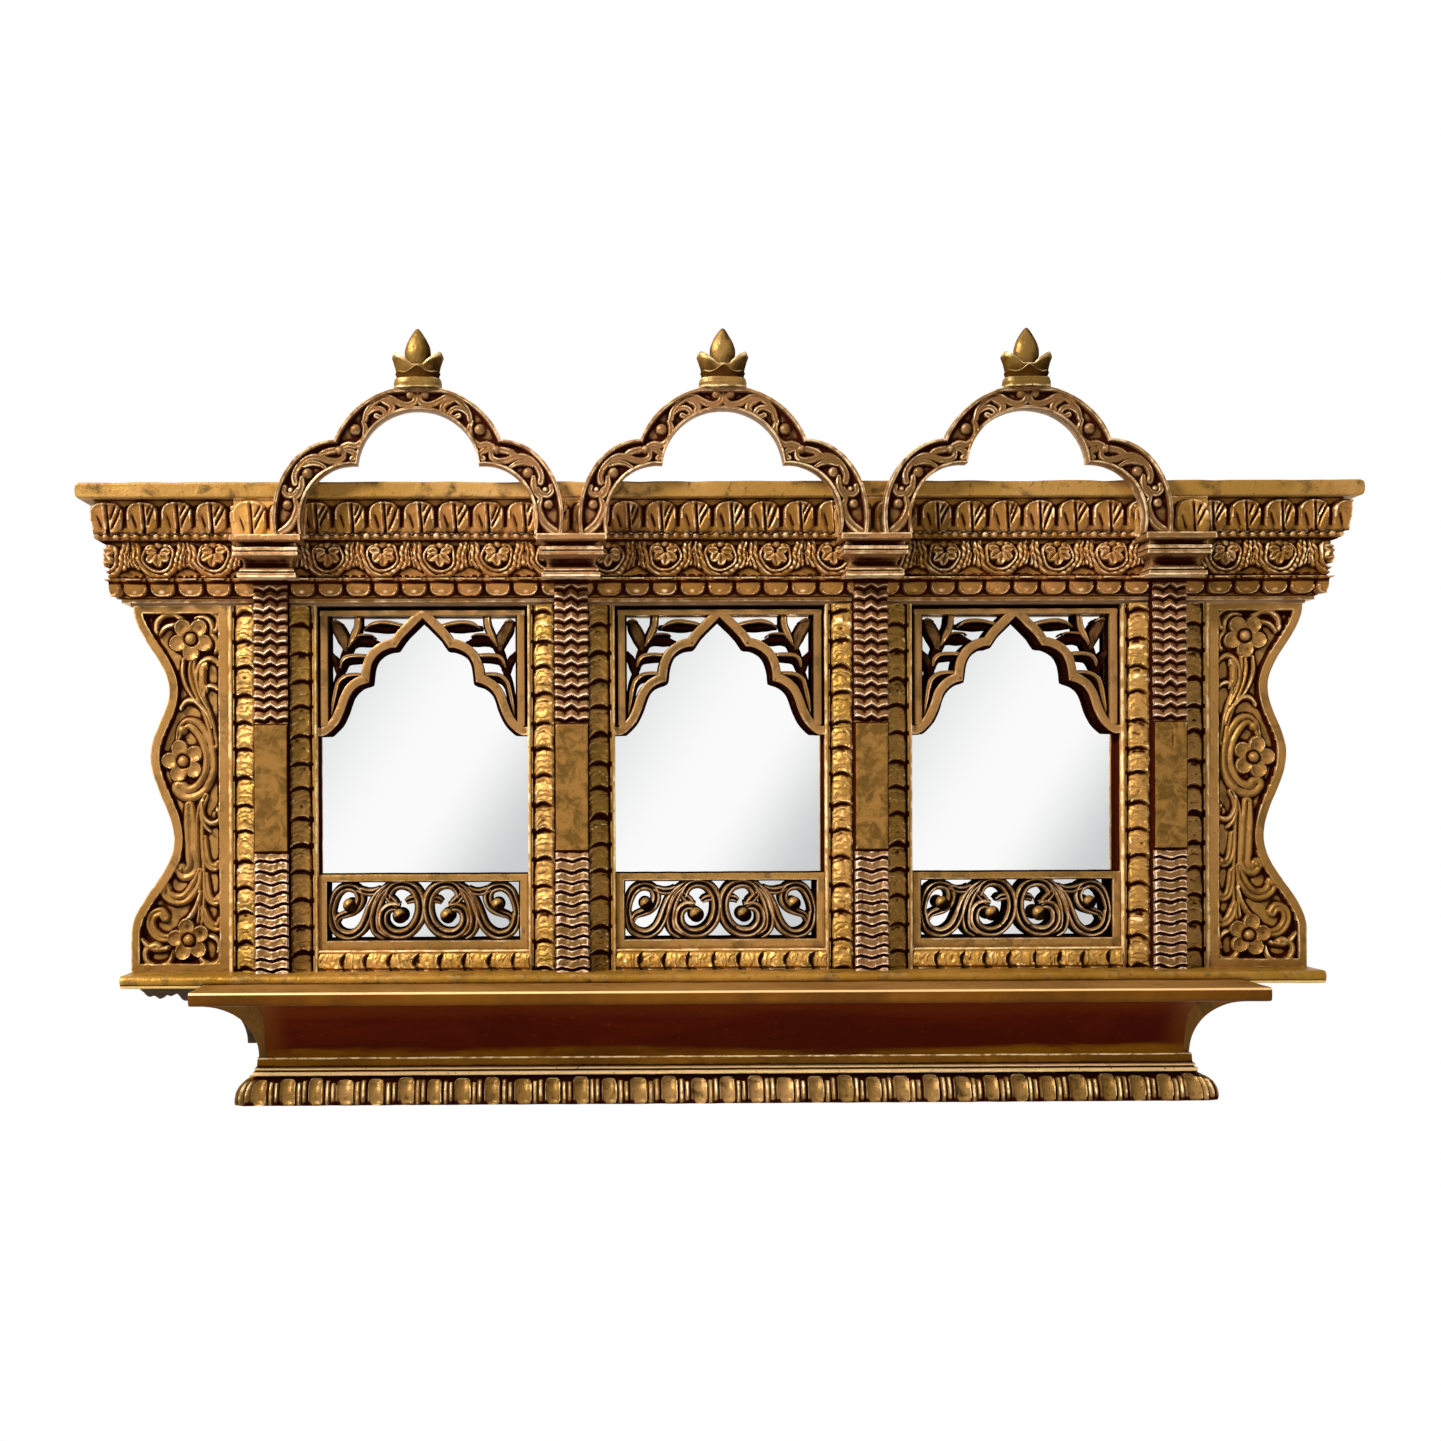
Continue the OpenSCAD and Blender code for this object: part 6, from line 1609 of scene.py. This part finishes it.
def make_backboard():
    """The rough board behind the wings, with an ear under the sill's left end."""
    x0, tip, back, face, z0, _ = limits("shelf_backboard")
    foot, top = base_top_half + 22, limits("shelf")[4]
    edge = wing_edge(foot, tip, z0, top)
    count = len(steps(foot - 6, 6 - foot, 12))
    rows = []
    for x, z in edge:
        middle = np.linspace(x - 6, 6 - x, count)
        end = [(x - 1, back), (x, back + 1), (x, face - 1), (x - 1, face)]
        ring = end + [(a, face) for a in middle] + [(-a, out) for a, out in end[::-1]]
        ring += [(a, back) for a in middle[::-1]]
        rows.append([(a, out, z) for a, out in ring])
    board = skin(hand_cut(np.array(rows), 0.3, 20, 210))

    def ring(x, low, middle):
        """One cut through the rough ear, which hangs under the sill's left end."""
        high = sill_low - 0.2
        return [(x, back, low), (x, face, low), (x, face, middle), (x, face, high), (x, back, high),
                (x, back, middle)]
    rows = []
    for t in np.linspace(0, 1, 60):
        x = x0 + (-tip + 1 - x0) * t
        ragged = 1.6 * math.sin(x * 0.21) + 1.2 * math.sin(x * 0.57 + 1)
        low = sill_low - 14 - 9 * ease((t - 0.55) / 0.45) + ragged
        if t < 0.12:
            low = sill_low - 14 * math.sqrt(t / 0.12) + ragged * t / 0.12
        rows.append(ring(x, low, (low + sill_low - 0.2) / 2))
    rows += [ring(x, top - 10, top) for x in (-tip + 4, 2 - limits("shelf")[1])]
    ear = skin(hand_cut(np.array(rows), 0.25, 8, 211))
    piece("backboard_rough", [board, ear], dark_board, "shelf_backboard")


def make_base():
    """The base: dished blocks and paired bars under two fillets and a neck."""
    _, half, _, face, z0, z1 = limits("base_moulding")
    spread, lip, carved = BASE_SPREAD, 6, 26
    top = z0 + carved
    ovolo = [(spread * math.cos(a), z0 + lip + (carved - lip) * math.sin(a))
             for a in np.radians(np.linspace(0, 88, 24))]
    points = [(spread - 2.2, z0), (spread - 0.8, z0 + 0.5), (spread - 0.1, z0 + 1.6),
              (spread, z0 + 3.6)] + ovolo
    points += [(1.6, top + 0.3), (4.0, top + 0.6), (4.4, top + 2.2), (4.0, top + 4.0), (1.6, top + 4.8),
               (1.3, top + 5.3), (2.4, top + 5.8), (2.7, top + 7.0), (2.0, top + 8.0), (0.6, top + 8.6),
               (0.2, top + 12), (0, z1)]
    proud, z = dense_path(points, 1).T
    inset = spread - proud
    t = np.clip((z - z0) / carved, 0, 1.2)
    pitch = 27.2

    def shapes(u, k):
        """Heights of the dished blocks and of the paired bars between them."""
        u = u + 1.1 * np.sin(u * 0.047)
        cell = np.floor(u / pitch + 0.5)
        a = (u / pitch - cell) * pitch
        gap = np.floor((u + pitch / 2) / pitch + 0.5)
        b = ((u + pitch / 2) / pitch - gap) * pitch
        v = t[k]
        high = 0.97 + 0.03 * np.sin(cell * 2.1)
        wide = 8.3 + 0.5 * np.sin(cell * 3.3)
        q = (np.abs(a / wide) ** 4 + np.abs((v - high / 2) / (high / 2)) ** 5) ** 0.22
        dish = 0.55 * np.clip(1 - (a / (0.8 * wide)) ** 2, 0, 1) * ease((v - 0.04) / 0.2)
        block = ease((1 - q) / 0.13) * (1 - dish * ease((0.95 - v) / 0.15))
        bars = np.zeros(np.broadcast_shapes(b.shape, v.shape))
        for centre, tall in ((-2.6, 0.93 + 0.04 * np.sin(gap * 4.2)),
                             (2.6, 0.93 + 0.04 * np.cos(gap * 3.1))):
            bars = np.maximum(bars, 1.05 * arc(b - centre, 2.4) * ease(v / 0.08) * ease((tall - v) / 0.14))
        return block, bars, a, v, cell

    def relief(u, k):
        block, bars, _, v, _ = shapes(u, k)
        return (np.maximum(block, bars) * 5.2 - 3.6) * (v < 1.0) * ease((1.02 - v) / 0.08)

    # Painted highlights on the bars, along the tops of the raised parts and in a pool on each dished block;
    # painted shade on the ground, at the foot and on the left of each block; above them, painted highlights
    # on the fillets with painted shade between.
    def tone(u, k):
        block, bars, a, v, cell = shapes(u, k)
        raised = np.maximum(block, bars)
        bar_glint = hump(v, 0.62, 0.26) * ease((bars - 0.75) / 0.2)
        rim = hump(v, 0.93, 0.035) * (raised > 0.2)
        light_pool = hump(a, 1.5, 3.4) * hump(v, 0.45 + 0.2 * np.sin(cell * 1.7), 0.16) * (block > 0.2)
        shade = 0.30 + 0.45 * ease((0.25 - v) / 0.2) + 0.35 * ease((-a - 3.2) / 2)
        shade = np.where(raised < 0.35, 0.85, shade) * (1 - np.clip(bar_glint + rim + light_pool, 0, 1))
        carve = shade - bar_glint - 0.6 * rim * (1 - bar_glint) - 0.35 * light_pool
        line = np.interp(z[k] - top, [0.0, 0.3, 0.9, 4.2, 4.7, 5.1, 5.6, 6.0, 8.0, 8.5, 9.0, 9.8],
                         [1, 0.9, -0.75, -0.85, 0.7, 1, 0.6, -0.85, -0.7, 0.9, 0.7, 0.1])
        return np.where(v < 0.975, carve, line + 0 * u)

    def neck(f, colour):
        """The olive neck, and painted highlights on the two fillets below it, bright enough to show under
        the shelf's shadow.
        """
        cloud = f.noise(12, 4, 0.6, stretch=(0.5, 1, 1))
        olive = f.blend(f.between(cloud, 0.4, 0.6), tint(112, 68, 5), tint(90, 52, 2))
        colour = f.blend(f.band(top + 8.4, top + 9.2, z1 + 5, z1 + 9), colour, olive)
        fillets = f.sum(f.band(top + 0.5, top + 1.0, top + 3.8, top + 4.4),
                        f.band(top + 5.6, top + 6, top + 7.6, top + 8.2))
        return f.blend(fillets, colour, tint(255, 212, 146))
    slope_out = np.clip(t, 0, 1)[None, :]
    thick = 24
    bm = wrapped(half - inset, face - inset, z, 1.1, relief=relief,
                 lean=(1 - 0.35 * slope_out, 0.55 * slope_out),
                 back=(half - spread - thick, face - spread - thick), seed=221, tone=tone)
    finish = gilding("base_gold", (152, 114, 66), (114, 82, 36), (236, 194, 138), mottle=1.5, glint=0.5,
                     over=neck)
    piece("base_carving", [bm], finish, "base_moulding")


def dress_carried_nodes():
    """Finishes for the construction pieces that keep their own shape."""
    finishes = {"top_rail": deal, "dowels": deal, "base_board": deal, "backing_pins": zinc,
                "hanger_plates": zinc, "hanger_screws": zinc}
    for i in BAYS:
        low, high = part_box(f"mirror_pane_{i}")
        finishes[f"mirror_pane_{i}"] = silvered_glass(f"silvered_glass_{i}", (low + high) / 2)
        finishes[f"mirror_backing_{i}"] = ply
    for name, finish in finishes.items():
        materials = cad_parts[name].data.materials
        materials.clear()
        materials.append(finish)


# Studio

LENS = 43.41
SHIFT = (0.10, 0.0576)
CAMERA_PLACE = (-0.1544, -1.7082, -0.2513)
CAMERA_TURN = (89.712, 0.235, -0.543)
ROOM_LIGHT = 0.13
FLOOR_DROP = 0.75


def make_floor():
    """Pale floor well below the hanging mirror, fading to the white surroundings."""
    level = cad_bounds[0][2] - FLOOR_DROP
    bm = bmesh.new()
    bmesh.ops.create_circle(bm, cap_ends=True, segments=96, radius=9,
                            matrix=Matrix.Translation((0, 0, level)))
    mesh = bpy.data.meshes.new("floor")
    bm.to_mesh(mesh)
    bm.free()
    floor = bpy.data.objects.new("floor", mesh)
    scene.collection.objects.link(floor)
    f = Finish("pale_floor")
    f.set(Base_Color=(0.86, 0.86, 0.86, 1), Roughness=0.9)
    place = f.add("ShaderNodeMapping", [("Vector", f.place), ("Location", (0, 0, -level))])
    away = f.add("ShaderNodeVectorMath", [(0, place.outputs["Vector"])], operation="LENGTH")
    rays = f.add("ShaderNodeLightPath").outputs
    seen = f.sum(rays["Is Camera Ray"], rays["Is Glossy Ray"], "MAXIMUM")
    share = f.sum(seen, f.between(away.outputs["Value"], 0.35, 1.1), "MULTIPLY")
    white = f.add("ShaderNodeEmission", [("Strength", 1.0)])
    mix = f.add("ShaderNodeMixShader", [
        (0, share), (1, f.shader.outputs["BSDF"]), (2, white.outputs["Emission"])])
    f.tree.links.new(mix.outputs["Shader"], f.tree.nodes["Material Output"].inputs["Surface"])
    mesh.materials.append(f.material)


def make_surroundings():
    """White where the camera and reflections look, a soft light everywhere else."""
    world = bpy.data.worlds.new("white_room")
    scene.world = world
    world.use_nodes = True
    tree = world.node_tree
    tree.nodes.clear()
    surface = add_node(tree, "ShaderNodeOutputWorld").inputs["Surface"]

    def backdrop(strength):
        return add_node(tree, "ShaderNodeBackground", [("Color", (1, 1, 1, 1)), ("Strength", strength)])

    def either(a, b):
        return add_node(tree, "ShaderNodeMath", [(0, a), (1, b)], operation="MAXIMUM").outputs[0]
    soft, white = backdrop(ROOM_LIGHT), backdrop(1)
    rays = add_node(tree, "ShaderNodeLightPath").outputs
    seen = either(either(rays["Is Camera Ray"], rays["Is Glossy Ray"]), rays["Is Transmission Ray"])
    room = add_node(tree, "ShaderNodeMixShader",
                    [("Fac", seen), (1, soft.outputs[0]), (2, white.outputs[0])])
    feed(tree, surface, room.outputs[0])


def make_lamp(name, place, aim, size, power):
    """A square soft lamp, turned towards a point."""
    light = bpy.data.lights.new(name, "AREA")
    light.shape = "SQUARE"
    light.size = size
    light.energy = power
    lamp = bpy.data.objects.new(name, light)
    lamp.location = place
    lamp.rotation_euler = (Vector(aim) - Vector(place)).to_track_quat("-Z", "Y").to_euler()
    scene.collection.objects.link(lamp)


def make_camera():
    """The photograph's view: almost square on, the lens level with the windows."""
    data = bpy.data.cameras.new("camera")
    data.sensor_width = data.sensor_height = 36
    data.sensor_fit = "HORIZONTAL"
    data.lens = LENS
    data.shift_x, data.shift_y = SHIFT
    data.clip_start, data.clip_end = 0.05, 60
    camera = bpy.data.objects.new("camera", data)
    camera.location = CAMERA_PLACE
    camera.rotation_euler = Euler([math.radians(a) for a in CAMERA_TURN], "XYZ")
    scene.collection.objects.link(camera)
    scene.camera = camera


make_top_board()
make_leaf_frieze()
make_leaf_blocks()
make_bead_strip()
make_flower_frieze()
make_scallops()
make_capitals()
make_arches()
make_finials()
make_stiles()
make_bottom_rails()
make_pilasters()
make_brackets()
make_spandrels()
make_scrolls()
make_sill()
make_shelf()
make_hollow()
make_wings()
make_backboard()
make_base()
dress_carried_nodes()
make_floor()
make_surroundings()
make_lamp("key", (-2.0, -1.5, 1.7), (0, 0, -0.15), 0.5, 180)
make_lamp("fill", (0.3, -2.2, -0.95), (0, 0, -0.4), 0.6, 9)
make_camera()
scene.view_settings.view_transform = "Standard"
